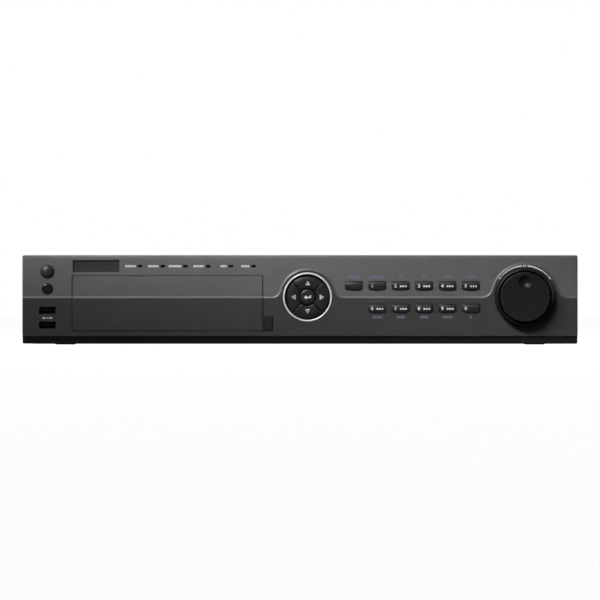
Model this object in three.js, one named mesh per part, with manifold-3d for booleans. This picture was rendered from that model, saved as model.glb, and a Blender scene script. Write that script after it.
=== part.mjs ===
// A rack-width digital video recorder: sheet metal case, moulded front, optical drive, keypad, jog and shuttle.
// Millimetres. +X is right seen from the front, +Y runs from the front to the back, +Z is up.
import * as THREE from "three";
import { mergeVertices } from "three/addons/utils/BufferGeometryUtils.js";
import Module from "manifold-3d";

const wasm = await Module();
wasm.setup();

// ------------------------------------------------------------------------------------------
// Driving dimensions. Heights are above the bezel's lower edge, depths are behind the bezel's front face.
// ------------------------------------------------------------------------------------------

// Clearances
const seatGap = 0.1; // between fixed pieces that seat on each other
const slideGap = 0.3; // around a piece that slides in a hole
const turnGap = 0.35; // around a piece that turns

// Bezel
const bezelWidth = 445;
const bezelHeight = 71;
const bezelDepth = 15;
const bezelWall = 2.5;
const chinHeight = 6.1; // slanted strip along the lower edge
const chinSetback = 4.5;
const fasciaStep = 0.9; // how far the lower fascia stands out
const trimHeight = 37.3; // upper edge of the lower fascia
const footDrop = 0.8; // how far the feet reach below the bezel

// Sheet metal case
const caseDepth = 375;
const caseInset = 1.5; // case sides inside the bezel's ends
const caseFloor = 4.7; // underside of the case
const lidDrop = 1; // lid below the bezel's upper edge
const sheet = 1.2;
const baseSideHeight = 14;
const ventWidth = 3;
const ventHeight = 26;
const ventPitch = 8;
const ventCount = 10;
const ventSetback = 60; // rearmost vent slot in front of the rear panel

// Feet
const footRadius = 9;
const footInsetX = 32;
const footInsetY = 34;

// Round controls
const navX = 6.1;
const knobHeight = 37.4; // axis height of the direction pad and of the jog knob
const navRingRadius = 19.7;
const navRingWidth = 1.5;
const navRingProud = 0.7;
const navKeyOuter = 16.6;
const navKeyInner = 7.1;
const navKeyProud = 1;
const navSplit = 0.8; // gap between neighbouring direction keys
const enterRadius = 6.25;
const navArchMargin = 2.7; // between the bright ring and the fascia's arch over it
const navArchFillet = 7.1;
const jogX = 180.1;
const shuttleRadius = 23.7;
const shuttleWall = 3.2;
const shuttleProud = 8;
const dialProud = 11.5;
const dimpleRadius = 4.8;
const dimpleOffset = 12;
const dimpleSphere = 6.4;
const jogArchMargin = 3.2; // between the shuttle ring and the fascia's arch over it
const jogArchFillet = 8.8;
const dialShaftRadius = 3;
const shuttleSleeveRadius = 6.2;
const encoderSize = 30;
const encoderDepth = 13;

// Keypad
const keyWidth = 13.9;
const keyHeight = 7.2;
const keyBow = 0.9; // how far the lower edge bows down
const keyCorner = 1;
const keyPitch = 18.74;
const keyFirstX = 43.2;
const keyUpperHeight = 46.2;
const keyLowerHeight = 28.1;
const keyProud = 1.1;
const keyFlange = 0.8; // rim that keeps a key behind the wall
const keyTravel = 1;
const stemSize = 3;

// Boards behind the bezel
const boardFront = 10.8;
const boardThickness = 1.6;
const switchSize = 6;
const switchHeight = 3.6;

// Left end of the bezel
const leftColumnX = -202.3;
const powerButtonHeight = 57.6;
const powerButtonRadius = 5.4;
const powerButtonTravel = 1.2;
const irHeight = 43.9;
const irRadius = 4.5;
const usbWidth = 13.1;
const usbHeight = 5.7;
const usbDepth = 9.4;
const usbShell = 0.35;
const usbTongue = 1.84;
const usbUpperHeight = 26.6;
const usbLowerHeight = 14.8;

// Name plate window and indicator windows
const plateX = -163.25;
const plateHeight = 62.3;
const plateSizeX = 37.1;
const plateSizeZ = 9;
const ledWidth = 3.5;
const ledSizeZ = 2;
const ledHeight = 62.2;
const ledFirstX = -128.2;
const ledPitch = 18.22;
const ledCount = 6;

// Disc tray, its cover and the drive
const coverX = -106.15;
const coverWidth = 152.3;
const coverBottom = 10.5;
const coverTop = 54.2;
const coverGap = 0.6;
const coverThickness = 3;
const ejectWidth = 7.9;
const ejectHeight = 11.4;
const ejectTravel = 1.5;
const ejectProud = 0.3;
const driveWidth = 146;
const driveHeight = 41.3;
const driveDepth = 170;
const driveSetback = 6.2; // drive front behind the bezel's front face
const trayWidth = 130;
const trayDepth = 148;
const trayThickness = 8;
const trayRise = 6; // tray above the drive's middle
const discRadius = 60.5;
const discRecess = 2.6;

// Inside the case
const diskWidth = 101.6;
const diskDepth = 147;
const diskHeight = 26.1;
const diskX = 60;
const diskSetback = 42;
const supplyWidth = 92;
const supplyGap = 30; // between the optical drive and the power supply
const supplyRear = 32; // room for the fan behind the power supply
const supplyHeight = 46;
const supplyX = -160;
const mainBoardWidth = 250;
const mainBoardGap = 30; // between the hard disks and the main board
const heatSinkRear = 30;
const mainBoardX = 82;
const standoff = 6;
const finCount = 9;
const finPitch = 5;

// Rear panel fittings
const inletX = -190;
const inletHeight = 38;
const inletWidth = 24.6; // the recess that takes the mains plug
const inletSizeZ = 17;
const inletDepth = 15;
const inletFlange = 3.4;
const rockerX = -152;
const rockerWidth = 11;
const rockerSizeZ = 16;
const rockerTilt = 9; // degrees either side of level
const fanX = -108;
const fanSize = 50;
const fanDepth = 15;
const fanRadius = 23;
const fanHubRadius = 9;
const bladeCount = 7;
const fanHeight = 38;
const portRow = 50; // upper row of sockets
const lowerRow = 22; // lower row of sockets
const networkX = -62;
const rearUsbX = -38;
const hdmiX = -12;
const vgaX = 22;
const terminalX = -30;
const terminalPins = 12;
const terminalPitch = 5;
const audioX = 58;
const rcaPitch = 15;
const rcaRadius = 4.15;
const rcaReach = 9;
const videoX = 142;
const videoColumns = 8;
const videoPitch = 16.5;
const bncRadius = 4.8;
const bncReach = 12;
const connectorHousing = 14; // depth of the socket blocks inside the case

// Values that follow from the ones above
const knobSteps = 32;
const buttonSteps = 20;
const smallSteps = 12;
const barrelSteps = 10;
const caseFront = bezelDepth + seatGap;
const caseBack = caseFront + caseDepth;
const caseTop = bezelHeight - lidDrop;
const caseHalf = bezelWidth / 2 - caseInset;
const innerHalf = caseHalf - sheet - seatGap; // half width of what fits inside the lid
const floorTop = caseFloor + sheet;
const panelFront = caseBack - sheet;
const lowerFace = -fasciaStep;
const fasciaBack = -seatGap;
const capSeat = bezelWall + slideGap; // front of a retaining rim behind the wall
const switchFront = boardFront - switchHeight;
const stemEnd = switchFront - keyTravel - slideGap;

// ------------------------------------------------------------------------------------------
// Solids: three.js geometries joined and cut
// ------------------------------------------------------------------------------------------

function solid(geometry) {
  const bare = geometry.clone();
  bare.deleteAttribute("normal");
  bare.deleteAttribute("uv");
  const merged = mergeVertices(bare, 1e-4);
  return new wasm.Manifold(
    new wasm.Mesh({
      numProp: 3,
      vertProperties: merged.attributes.position.array,
      triVerts: new Uint32Array(merged.index.array),
    }),
  );
}

function join(...solids) {
  return solids.reduce((whole, piece) => whole.add(piece));
}

function cut(whole, ...tools) {
  return tools.reduce((rest, tool) => rest.subtract(tool), whole);
}

function box(x0, x1, y0, y1, z0, z1) {
  const geometry = new THREE.BoxGeometry(x1 - x0, y1 - y0, z1 - z0);
  return solid(geometry.translate((x0 + x1) / 2, (y0 + y1) / 2, (z0 + z1) / 2));
}

// A box given by its middle in x and z, its size in x and z, and its front and back.
function block(x, z, width, height, y0, y1) {
  return box(x - width / 2, x + width / 2, y0, y1, z - height / 2, z + height / 2);
}

// Extrudes an outline drawn in x and z from depth y0 to depth y1.
function alongY(shape, y0, y1, curveSegments = 4) {
  const geometry = new THREE.ExtrudeGeometry(shape, { depth: y1 - y0, bevelEnabled: false, curveSegments });
  return solid(geometry.rotateX(Math.PI / 2).translate(0, y1, 0));
}

// Extrudes an outline drawn in y and z from x0 to x1.
function alongX(shape, x0, x1) {
  const geometry = new THREE.ExtrudeGeometry(shape, { depth: x1 - x0, bevelEnabled: false });
  return solid(geometry.rotateX(Math.PI / 2).rotateZ(Math.PI / 2).translate(x0, 0, 0));
}

// Turns a profile of [radius, depth] points about a front-to-back axis at x, z.
function turned(profile, x, z, steps = knobSteps) {
  const points = profile.map(([radius, depth]) => new THREE.Vector2(radius, depth));
  return solid(new THREE.LatheGeometry(points, steps).translate(x, 0, z));
}

function rod(x, z, radius, y0, y1, steps = smallSteps) {
  const profile = [
    [0, y0],
    [radius, y0],
    [radius, y1],
    [0, y1],
  ];
  return turned(profile, x, z, steps);
}

function polygon(points) {
  return new THREE.Shape(points.map(([u, v]) => new THREE.Vector2(u, v)));
}

// ------------------------------------------------------------------------------------------
// The exported group and its materials
// ------------------------------------------------------------------------------------------

const recorder = new THREE.Group();

function finish(color, roughness, metalness) {
  return new THREE.MeshStandardMaterial({ color, roughness, metalness });
}

const finishes = {
  bezelPlastic: finish(0x55575a, 0.45, 0),
  fasciaPlastic: finish(0x2e2f31, 0.42, 0),
  keyPlastic: finish(0x141416, 0.18, 0),
  knobPlastic: finish(0x1a1a1c, 0.35, 0),
  ringMetal: finish(0xb8babd, 0.25, 1),
  smokedWindow: finish(0x17090b, 0.1, 0),
  paintedSteel: finish(0x1f2022, 0.6, 0.3),
  plainSteel: finish(0xb5b8ba, 0.35, 1),
  nickel: finish(0xc4c2bb, 0.25, 1),
  board: finish(0x1e5a35, 0.5, 0),
  moulded: finish(0x18181a, 0.5, 0),
  rubber: finish(0x121212, 0.9, 0),
  aluminium: finish(0xa9abad, 0.4, 1),
  terminalGreen: finish(0x2f8a4b, 0.5, 0),
};

function addNode(name, shape, material, parent = recorder) {
  const { vertProperties, triVerts } = shape.getMesh();
  const indexed = new THREE.BufferGeometry();
  indexed.setAttribute("position", new THREE.BufferAttribute(vertProperties, 3));
  indexed.setIndex(new THREE.BufferAttribute(triVerts, 1));
  const geometry = indexed.toNonIndexed();
  geometry.computeVertexNormals();
  const mesh = new THREE.Mesh(geometry, material);
  mesh.name = name;
  parent.add(mesh);
  return mesh;
}

// ------------------------------------------------------------------------------------------
// Outlines
// ------------------------------------------------------------------------------------------

// A key's outline: straight top with small corners, and a lower edge that bows down. grow widens it all round.
function keyShape(x, z, grow = 0) {
  const half = keyWidth / 2 + grow;
  const top = z + keyHeight / 2 + grow;
  const side = z - keyHeight / 2 + keyBow - grow;
  const shape = new THREE.Shape();
  shape.moveTo(x - half, side);
  shape.quadraticCurveTo(x, side - 2 * keyBow, x + half, side);
  shape.lineTo(x + half, top - keyCorner);
  shape.quadraticCurveTo(x + half, top, x + half - keyCorner, top);
  shape.lineTo(x - half + keyCorner, top);
  shape.quadraticCurveTo(x - half, top, x - half, top - keyCorner);
  shape.closePath();
  return shape;
}

// One direction key: a quarter of a ring about the pad's axis, its sides parallel to the diagonals.
function navKeyShape(direction) {
  const outerTurn = Math.PI / 4 - Math.asin(navSplit / 2 / navKeyOuter);
  const innerTurn = Math.PI / 4 - Math.asin(navSplit / 2 / navKeyInner);
  const shape = new THREE.Shape();
  shape.absarc(navX, knobHeight, navKeyOuter, direction - outerTurn, direction + outerTurn, false);
  shape.absarc(navX, knobHeight, navKeyInner, direction + innerTurn, direction - innerTurn, true);
  shape.closePath();
  return shape;
}

// Adds to a right-to-left edge an arch of a given radius about x, z, with a fillet at each foot.
function addArch(shape, x, z, radius, fillet, edge) {
  const rise = edge + fillet - z;
  const reach = Math.sqrt((radius + fillet) ** 2 - rise ** 2);
  const lean = Math.atan2(rise, reach);
  const down = (3 * Math.PI) / 2;
  shape.absarc(x + reach, edge + fillet, fillet, down, Math.PI + lean, true);
  shape.absarc(x, z, radius, lean, Math.PI - lean, false);
  shape.absarc(x - reach, edge + fillet, fillet, -lean, -Math.PI / 2, true);
}

// The raised lower fascia: from the chin up to the trim line, arching over the direction pad and the jog knob.
function fasciaShape() {
  const half = bezelWidth / 2;
  const shape = new THREE.Shape();
  shape.moveTo(-half, chinHeight);
  shape.lineTo(half, chinHeight);
  shape.lineTo(half, trimHeight);
  addArch(shape, jogX, knobHeight, shuttleRadius + jogArchMargin, jogArchFillet, trimHeight);
  addArch(shape, navX, knobHeight, navRingRadius + navArchMargin, navArchFillet, trimHeight);
  shape.lineTo(-half, trimHeight);
  shape.closePath();
  return shape;
}

const keys = [];
["function", "1", "2", "3", "4", "5"].forEach((label, column) => {
  keys.push({ name: "key_" + label, x: keyFirstX + column * keyPitch, z: keyUpperHeight, front: 0 });
});
["6", "7", "8", "9", "0"].forEach((label, column) => {
  const x = keyFirstX + (column + 1) * keyPitch;
  keys.push({ name: "key_" + label, x, z: keyLowerHeight, front: lowerFace });
});

const navKeys = [
  { name: "nav_right_key", direction: 0 },
  { name: "nav_up_key", direction: Math.PI / 2 },
  { name: "nav_left_key", direction: Math.PI },
  { name: "nav_down_key", direction: (3 * Math.PI) / 2 },
];
const navStemRadius = 2.2;
const navStemReach = (navKeyOuter + navKeyInner) / 2;

// ------------------------------------------------------------------------------------------
// Front: bezel, fascia and what sits in their openings
// ------------------------------------------------------------------------------------------

const ejectX = coverX + coverWidth / 2 + slideGap + ejectWidth / 2;
const ejectZ = coverBottom + ejectHeight / 2;
const coverZ = (coverBottom + coverTop) / 2;

function frontOpenings() {
  const front = lowerFace - 1;
  const back = bezelWall + 1;
  const tools = [
    rod(leftColumnX, powerButtonHeight, powerButtonRadius + slideGap, front, back, knobSteps),
    rod(leftColumnX, irHeight, irRadius + seatGap, front, back, knobSteps),
    block(leftColumnX, usbUpperHeight, usbWidth + 2 * seatGap, usbHeight + 2 * seatGap, front, back),
    block(leftColumnX, usbLowerHeight, usbWidth + 2 * seatGap, usbHeight + 2 * seatGap, front, back),
    block(plateX, plateHeight, plateSizeX + 2 * seatGap, plateSizeZ + 2 * seatGap, front, back),
    rod(navX, knobHeight, navRingRadius + seatGap, front, back, knobSteps),
    rod(jogX, knobHeight, shuttleRadius + turnGap, front, back, knobSteps),
    box(
      coverX - coverWidth / 2 - coverGap,
      coverX + coverWidth / 2 + coverGap,
      front,
      back,
      coverBottom - coverGap,
      coverTop + coverGap,
    ),
    block(ejectX, ejectZ, ejectWidth + 2 * slideGap, ejectHeight + 2 * slideGap, front, back),
  ];
  for (let i = 0; i < ledCount; i += 1) {
    const x = ledFirstX + i * ledPitch;
    tools.push(block(x, ledHeight, ledWidth + 2 * seatGap, ledSizeZ + 2 * seatGap, front, back));
  }
  for (const key of keys) tools.push(alongY(keyShape(key.x, key.z, slideGap), front, back, 2));
  return join(...tools);
}

function bezelProfile(offset) {
  return polygon([
    [offset, chinHeight],
    [chinSetback + offset * 0.5, offset],
    [bezelDepth, offset],
    [bezelDepth, bezelHeight - offset],
    [offset, bezelHeight - offset],
  ]);
}

const openings = frontOpenings();
const half = bezelWidth / 2;
const shell = cut(
  alongX(bezelProfile(0), -half, half),
  alongX(bezelProfile(bezelWall), -half + bezelWall, half - bezelWall),
  box(
    -half + bezelWall,
    half - bezelWall,
    bezelDepth - 1,
    bezelDepth + 1,
    bezelWall,
    bezelHeight - bezelWall,
  ),
);
addNode("front_bezel", cut(shell, openings), finishes.bezelPlastic);
const fascia = alongY(fasciaShape(), lowerFace, fasciaBack, 6);
addNode("lower_fascia", cut(fascia, openings), finishes.fasciaPlastic);

function windowPane(x, z, width, height, front, rim) {
  return join(
    block(x, z, width, height, front, capSeat),
    block(x, z, width + 2 * rim, height + 2 * rim, bezelWall + seatGap, capSeat + 1),
  );
}

const namePlate = windowPane(plateX, plateHeight, plateSizeX, plateSizeZ, 0.9, 1.2);
addNode("name_plate", namePlate, finishes.fasciaPlastic);

function lightPipe() {
  const last = ledFirstX + (ledCount - 1) * ledPitch;
  const rail = box(ledFirstX - 5, last + 5, capSeat, capSeat + 3, ledHeight - 2.5, ledHeight + 2.5);
  const posts = Array.from({ length: ledCount }, (_, i) =>
    block(ledFirstX + i * ledPitch, ledHeight, ledWidth, ledSizeZ, 0.2, capSeat + 1),
  );
  return join(rail, ...posts);
}

addNode("led_light_pipe", lightPipe(), finishes.smokedWindow);

const irProfile = [
  [0, -0.4],
  [irRadius * 0.6, -0.2],
  [irRadius, 0.3],
  [irRadius, bezelWall + seatGap],
  [irRadius + 1, bezelWall + seatGap],
  [irRadius + 1, bezelWall + 1.2],
  [0, bezelWall + 1.2],
];
addNode("ir_window", turned(irProfile, leftColumnX, irHeight, buttonSteps), finishes.smokedWindow);

const powerProfile = [
  [0, -1.9],
  [powerButtonRadius * 0.55, -1.6],
  [powerButtonRadius * 0.88, -0.8],
  [powerButtonRadius, 0.2],
  [powerButtonRadius, capSeat],
  [powerButtonRadius + keyFlange, capSeat],
  [powerButtonRadius + keyFlange, capSeat + 1],
  [stemSize / 2, capSeat + 1],
  [stemSize / 2, switchFront - powerButtonTravel - slideGap],
  [0, switchFront - powerButtonTravel - slideGap],
];
const powerButton = turned(powerProfile, leftColumnX, powerButtonHeight, buttonSteps);
addNode("power_button", powerButton, finishes.knobPlastic);

// A USB socket: a steel shell closed at the back, with the contact tongue near its upper wall.
function usbSocket(x, z, front, back) {
  const hollow = block(x, z, usbWidth - 2 * usbShell, usbHeight - 2 * usbShell, front - 1, back - 1.2);
  const tongueZ = z + usbHeight / 2 - usbShell - 0.7 - usbTongue / 2;
  const tongue = block(x, tongueZ, usbWidth - 2, usbTongue, front + 0.8, back - 0.6);
  return join(cut(block(x, z, usbWidth, usbHeight, front, back), hollow), tongue);
}

const usbFront = boardFront - seatGap - usbDepth;
const usbBack = boardFront - seatGap;
addNode("usb_port_upper", usbSocket(leftColumnX, usbUpperHeight, usbFront, usbBack), finishes.nickel);
addNode("usb_port_lower", usbSocket(leftColumnX, usbLowerHeight, usbFront, usbBack), finishes.nickel);

function tactSwitch(x, z) {
  return block(x, z, switchSize, switchSize, switchFront, boardFront + boardThickness / 2);
}

const boardBack = boardFront + boardThickness;
const leftBoard = join(
  block(leftColumnX, bezelHeight / 2 + 2, 25, bezelHeight - 16, boardFront, boardBack),
  tactSwitch(leftColumnX, powerButtonHeight),
);
addNode("left_control_board", leftBoard, finishes.board);

// ------------------------------------------------------------------------------------------
// Direction pad and keypad
// ------------------------------------------------------------------------------------------

const padFloor = capSeat + keyTravel;
const padBack = padFloor + 1.2;
const padStems = navKeys.map(({ direction }) => ({
  x: navX + navStemReach * Math.cos(direction),
  z: knobHeight + navStemReach * Math.sin(direction),
}));
padStems.push({ x: navX, z: knobHeight });

const ringFront = lowerFace - navRingProud;
const ringProfile = [
  [0, padFloor],
  [navRingRadius - navRingWidth, padFloor],
  [navRingRadius - navRingWidth, ringFront + 0.4],
  [navRingRadius - navRingWidth * 0.6, ringFront],
  [navRingRadius - 0.4, ringFront],
  [navRingRadius, ringFront + 0.4],
  [navRingRadius, padBack],
  [0, padBack],
];
const padHoles = padStems.map(({ x, z }) => rod(x, z, navStemRadius + slideGap, padFloor - 1, padBack + 1));
addNode("nav_ring", cut(turned(ringProfile, navX, knobHeight), ...padHoles), finishes.ringMetal);

const padKeyBack = padFloor - keyTravel - slideGap;
navKeys.forEach(({ name, direction }, i) => {
  const cap = alongY(navKeyShape(direction), lowerFace - navKeyProud, padKeyBack);
  const stem = rod(padStems[i].x, padStems[i].z, navStemRadius, padKeyBack - 0.5, stemEnd);
  addNode(name, join(cap, stem), finishes.keyPlastic);
});

const enterProfile = [
  [0, lowerFace - navKeyProud - 0.2],
  [enterRadius - 0.5, lowerFace - navKeyProud - 0.2],
  [enterRadius, lowerFace - navKeyProud + 0.3],
  [enterRadius, padKeyBack],
  [navStemRadius, padKeyBack],
  [navStemRadius, stemEnd],
  [0, stemEnd],
];
addNode("enter_key", turned(enterProfile, navX, knobHeight, buttonSteps), finishes.keyPlastic);

for (const key of keys) {
  const cap = alongY(keyShape(key.x, key.z), key.front - keyProud, capSeat + 0.4, 2);
  const rimWidth = keyWidth + 2 * keyFlange;
  const rimHeight = keyHeight + 2 * keyFlange;
  const rim = block(key.x, key.z, rimWidth, rimHeight, capSeat, capSeat + keyFlange);
  const stem = block(key.x, key.z, stemSize, stemSize, capSeat, stemEnd);
  addNode(key.name, join(cap, rim, stem), finishes.keyPlastic);
}

function keypadBoard() {
  const left = navX - navRingRadius + 2;
  const right = keyFirstX + 5 * keyPitch + keyWidth / 2 + 2;
  const board = box(left, right, boardFront, boardBack, chinHeight + 10, keyUpperHeight + 12);
  const spots = [...keys, ...padStems];
  return join(board, ...spots.map(({ x, z }) => tactSwitch(x, z)));
}

addNode("keypad_board", keypadBoard(), finishes.board);

// ------------------------------------------------------------------------------------------
// Jog dial, shuttle ring and their encoder
// ------------------------------------------------------------------------------------------

const shuttleInner = shuttleRadius - shuttleWall;
const dialRadius = shuttleInner - turnGap - 0.2;
const shuttleFront = lowerFace - shuttleProud;
const dialFront = lowerFace - dialProud;
const encoderFront = boardFront + 0.2;
const dialBack = bezelWall - 1.8;
const shuttleFloor = dialBack + turnGap;
const shuttleBack = shuttleFloor + 1.8;
const sleeveEnd = encoderFront + 3;
const shaftEnd = encoderFront + 7;

const shuttleProfile = [
  [dialShaftRadius + turnGap, shuttleFloor],
  [shuttleInner, shuttleFloor],
  [shuttleInner, shuttleFront + 0.8],
  [shuttleInner + 0.8, shuttleFront],
  [shuttleRadius - 1.4, shuttleFront],
  [shuttleRadius, shuttleFront + 1.4],
  [shuttleRadius, shuttleBack],
  [shuttleSleeveRadius, shuttleBack],
  [shuttleSleeveRadius, sleeveEnd],
  [dialShaftRadius + turnGap, sleeveEnd],
  [dialShaftRadius + turnGap, shuttleFloor],
];
addNode("shuttle_ring", turned(shuttleProfile, jogX, knobHeight), finishes.knobPlastic);

const dialProfile = [
  [0, dialFront + 0.5],
  [dialRadius * 0.7, dialFront + 0.2],
  [dialRadius - 1.6, dialFront],
  [dialRadius, dialFront + 1.6],
  [dialRadius, dialBack],
  [dialShaftRadius, dialBack],
  [dialShaftRadius, shaftEnd],
  [0, shaftEnd],
];
const dimpleDepth = Math.sqrt(dimpleSphere ** 2 - dimpleRadius ** 2);
const dimple = new THREE.SphereGeometry(dimpleSphere, 16, 12);
dimple.translate(jogX, dialFront - dimpleDepth + 0.3, knobHeight + dimpleOffset);
addNode("jog_dial", cut(turned(dialProfile, jogX, knobHeight), solid(dimple)), finishes.knobPlastic);

const encoder = cut(
  block(jogX, knobHeight, encoderSize, encoderSize, encoderFront, encoderFront + encoderDepth),
  rod(jogX, knobHeight, shuttleSleeveRadius + turnGap, encoderFront - 1, sleeveEnd + slideGap, buttonSteps),
  rod(jogX, knobHeight, dialShaftRadius + turnGap, encoderFront - 1, shaftEnd + slideGap, buttonSteps),
);
addNode("jog_encoder", encoder, finishes.moulded);

// ------------------------------------------------------------------------------------------
// Optical drive: case, tray with its cover, eject button
// ------------------------------------------------------------------------------------------

const trayZ = coverZ + trayRise;
const trayFront = coverThickness + seatGap;
const driveBack = driveSetback + driveDepth;

const trayPocket = block(
  coverX,
  trayZ,
  trayWidth + 4 * slideGap,
  trayThickness + 4 * slideGap,
  driveSetback - 1,
  trayFront + trayDepth + 1,
);
const drive = cut(block(coverX, coverZ, driveWidth, driveHeight, driveSetback, driveBack), trayPocket);
addNode("drive_case", drive, finishes.plainSteel);

function discTray() {
  const trayTop = trayZ + trayThickness / 2;
  const discY = trayFront + 4 + discRadius;
  const plate = block(coverX, trayZ, trayWidth, trayThickness, trayFront, trayFront + trayDepth);
  const well = new THREE.CylinderGeometry(discRadius, discRadius, 2 * discRecess, knobSteps);
  well.rotateX(Math.PI / 2).translate(coverX, discY, trayTop);
  const slot = box(coverX - 17, coverX + 17, discY - 17, trayFront + trayDepth - 12, trayZ - 6, trayZ + 6);
  return cut(plate, solid(well), slot);
}

addNode("disc_tray", discTray(), finishes.moulded);

const coverLeft = coverX - coverWidth / 2;
const coverRight = coverX + coverWidth / 2;
const trayCover = join(
  box(coverLeft, coverRight, 0, coverThickness, coverBottom, coverTop),
  box(coverLeft, coverRight, lowerFace, 1, coverBottom, trimHeight),
);
addNode("tray_front_cover", trayCover, finishes.fasciaPlastic);

// The eject button reaches behind the wall to the drive's own switch, near the drive's lower right corner.
const armFront = coverThickness + 0.6;
const armBack = driveSetback - ejectTravel - slideGap;
const ejectButton = join(
  block(ejectX, ejectZ, ejectWidth, ejectHeight, lowerFace - ejectProud, armBack),
  box(coverX + driveWidth / 2 - 6, ejectX, armFront, armBack, ejectZ - 2, ejectZ + 2),
);
addNode("eject_button", ejectButton, finishes.keyPlastic);

// ------------------------------------------------------------------------------------------
// Sheet metal: base, lid, rear panel, feet
// ------------------------------------------------------------------------------------------

function baseChassis() {
  const wallTop = caseTop - sheet - seatGap;
  const back = caseBack;
  const tub = cut(
    box(-innerHalf, innerHalf, caseFront, back, caseFloor, wallTop),
    box(-innerHalf + sheet, innerHalf - sheet, caseFront + sheet, back + 1, floorTop, wallTop + 1),
    box(-innerHalf - 1, innerHalf + 1, caseFront + sheet, back + 1, caseFloor + baseSideHeight, wallTop + 1),
  );
  const frontY = [caseFront - 1, caseFront + sheet + 1];
  return cut(
    tub,
    block(coverX, coverZ, driveWidth + 2, driveHeight + 2, ...frontY),
    block(jogX, knobHeight, encoderSize + 4, encoderSize + 4, ...frontY),
    block((navX + jogX) / 2, bezelHeight - 10, 60, 5, ...frontY),
  );
}

addNode("base_chassis", baseChassis(), finishes.paintedSteel);

function topCover() {
  const hood = cut(
    box(-caseHalf, caseHalf, caseFront, caseBack, caseFloor, caseTop),
    box(-caseHalf + sheet, caseHalf - sheet, caseFront - 1, caseBack + 1, caseFloor - 1, caseTop - sheet),
  );
  const slots = [];
  const ventBottom = caseFloor + baseSideHeight + 8;
  for (let i = 0; i < ventCount; i += 1) {
    const y = caseBack - ventSetback - i * ventPitch;
    slots.push(box(-caseHalf - 1, caseHalf + 1, y, y + ventWidth, ventBottom, ventBottom + ventHeight));
  }
  return cut(hood, join(...slots));
}

addNode("top_cover", topCover(), finishes.paintedSteel);

const soleHeight = -footDrop;
function foot() {
  const profile = [
    [0, soleHeight],
    [footRadius - 1, soleHeight],
    [footRadius, caseFloor - seatGap],
    [0, caseFloor - seatGap],
  ];
  const points = profile.map(([radius, height]) => new THREE.Vector2(radius, height));
  return new THREE.LatheGeometry(points, buttonSteps).rotateX(Math.PI / 2);
}

const footX = caseHalf - footInsetX;
const footPlaces = {
  foot_front_left: [-footX, caseFront + footInsetY],
  foot_front_right: [footX, caseFront + footInsetY],
  foot_rear_left: [-footX, caseBack - footInsetY],
  foot_rear_right: [footX, caseBack - footInsetY],
};
for (const [name, [x, y]] of Object.entries(footPlaces)) {
  addNode(name, solid(foot()), finishes.rubber).position.set(x, y, 0);
}

// Sockets on the rear panel: middle, size and how far the body stands out behind the panel.
const ports = {
  network: { x: networkX, z: portRow, width: 16, height: 13.6, out: 0.8 },
  usb: { x: rearUsbX, z: portRow, width: usbWidth, height: usbHeight, out: 0.5 },
  hdmi: { x: hdmiX, z: portRow, width: 15, height: 6.4, out: 0.6 },
  vga: { x: vgaX, z: portRow, width: 30.8, height: 12.4, out: 1 },
  terminals: { x: terminalX, z: lowerRow, width: terminalPins * terminalPitch + 3, height: 17, out: 2.5 },
  inlet: { x: inletX, z: inletHeight, width: inletWidth + 3, height: inletSizeZ + 3, out: inletFlange },
  rocker: { x: rockerX, z: inletHeight, width: rockerWidth + 3.2, height: rockerSizeZ + 3.2, out: 1.6 },
};

function panelHole({ x, z, width, height }) {
  return block(x, z, width + 2 * seatGap, height + 2 * seatGap, panelFront - 1, caseBack + 1);
}

const videoSpots = [];
for (let column = 0; column < videoColumns; column += 1) {
  const x = videoX + (column - (videoColumns - 1) / 2) * videoPitch;
  videoSpots.push({ x, z: portRow }, { x, z: lowerRow });
}
const audioSpots = [-0.5, 0.5].flatMap((side) => [
  { x: audioX + side * rcaPitch, z: portRow },
  { x: audioX + side * rcaPitch, z: lowerRow },
]);

function fanSlots() {
  const slots = [];
  const pitch = 5.6;
  for (let i = -3; i <= 3; i += 1) {
    const reach = Math.sqrt((fanRadius - 1) ** 2 - (i * pitch) ** 2);
    slots.push(block(fanX + i * pitch, fanHeight, 3.6, 2 * reach, panelFront - 1, caseBack + 1));
  }
  return slots;
}

function rearPanel() {
  const plate = box(
    -innerHalf + sheet + seatGap,
    innerHalf - sheet - seatGap,
    panelFront,
    caseBack,
    floorTop + seatGap,
    caseTop - sheet - seatGap,
  );
  const round = (spots, radius) =>
    spots.map(({ x, z }) => rod(x, z, radius, panelFront - 1, caseBack + 1, barrelSteps));
  return cut(
    plate,
    ...Object.values(ports).map(panelHole),
    ...fanSlots(),
    ...round(videoSpots, bncRadius + 0.3),
    ...round(audioSpots, rcaRadius + 0.3),
  );
}

addNode("rear_panel", rearPanel(), finishes.paintedSteel);

// ------------------------------------------------------------------------------------------
// Rear fittings
// ------------------------------------------------------------------------------------------

const housingFront = panelFront - seatGap - connectorHousing;
const housingBack = panelFront - seatGap;

function portBody(port, depth) {
  return block(port.x, port.z, port.width, port.height, panelFront - depth, caseBack + port.out);
}

function socketBlock(spots, margin, barrelProfile) {
  const xs = spots.map(({ x }) => x);
  const housing = box(
    Math.min(...xs) - margin,
    Math.max(...xs) + margin,
    housingFront,
    housingBack,
    lowerRow - margin,
    portRow + margin,
  );
  return join(housing, ...spots.map(({ x, z }) => turned(barrelProfile, x, z, barrelSteps)));
}

const bncEnd = caseBack + bncReach;
const bncProfile = [
  [0, housingBack - 2],
  [bncRadius, housingBack - 2],
  [bncRadius, bncEnd],
  [bncRadius - 0.9, bncEnd],
  [bncRadius - 0.9, bncEnd - 7],
  [0, bncEnd - 7],
];
addNode("video_connector_block", socketBlock(videoSpots, 7.5, bncProfile), finishes.nickel);

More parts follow.
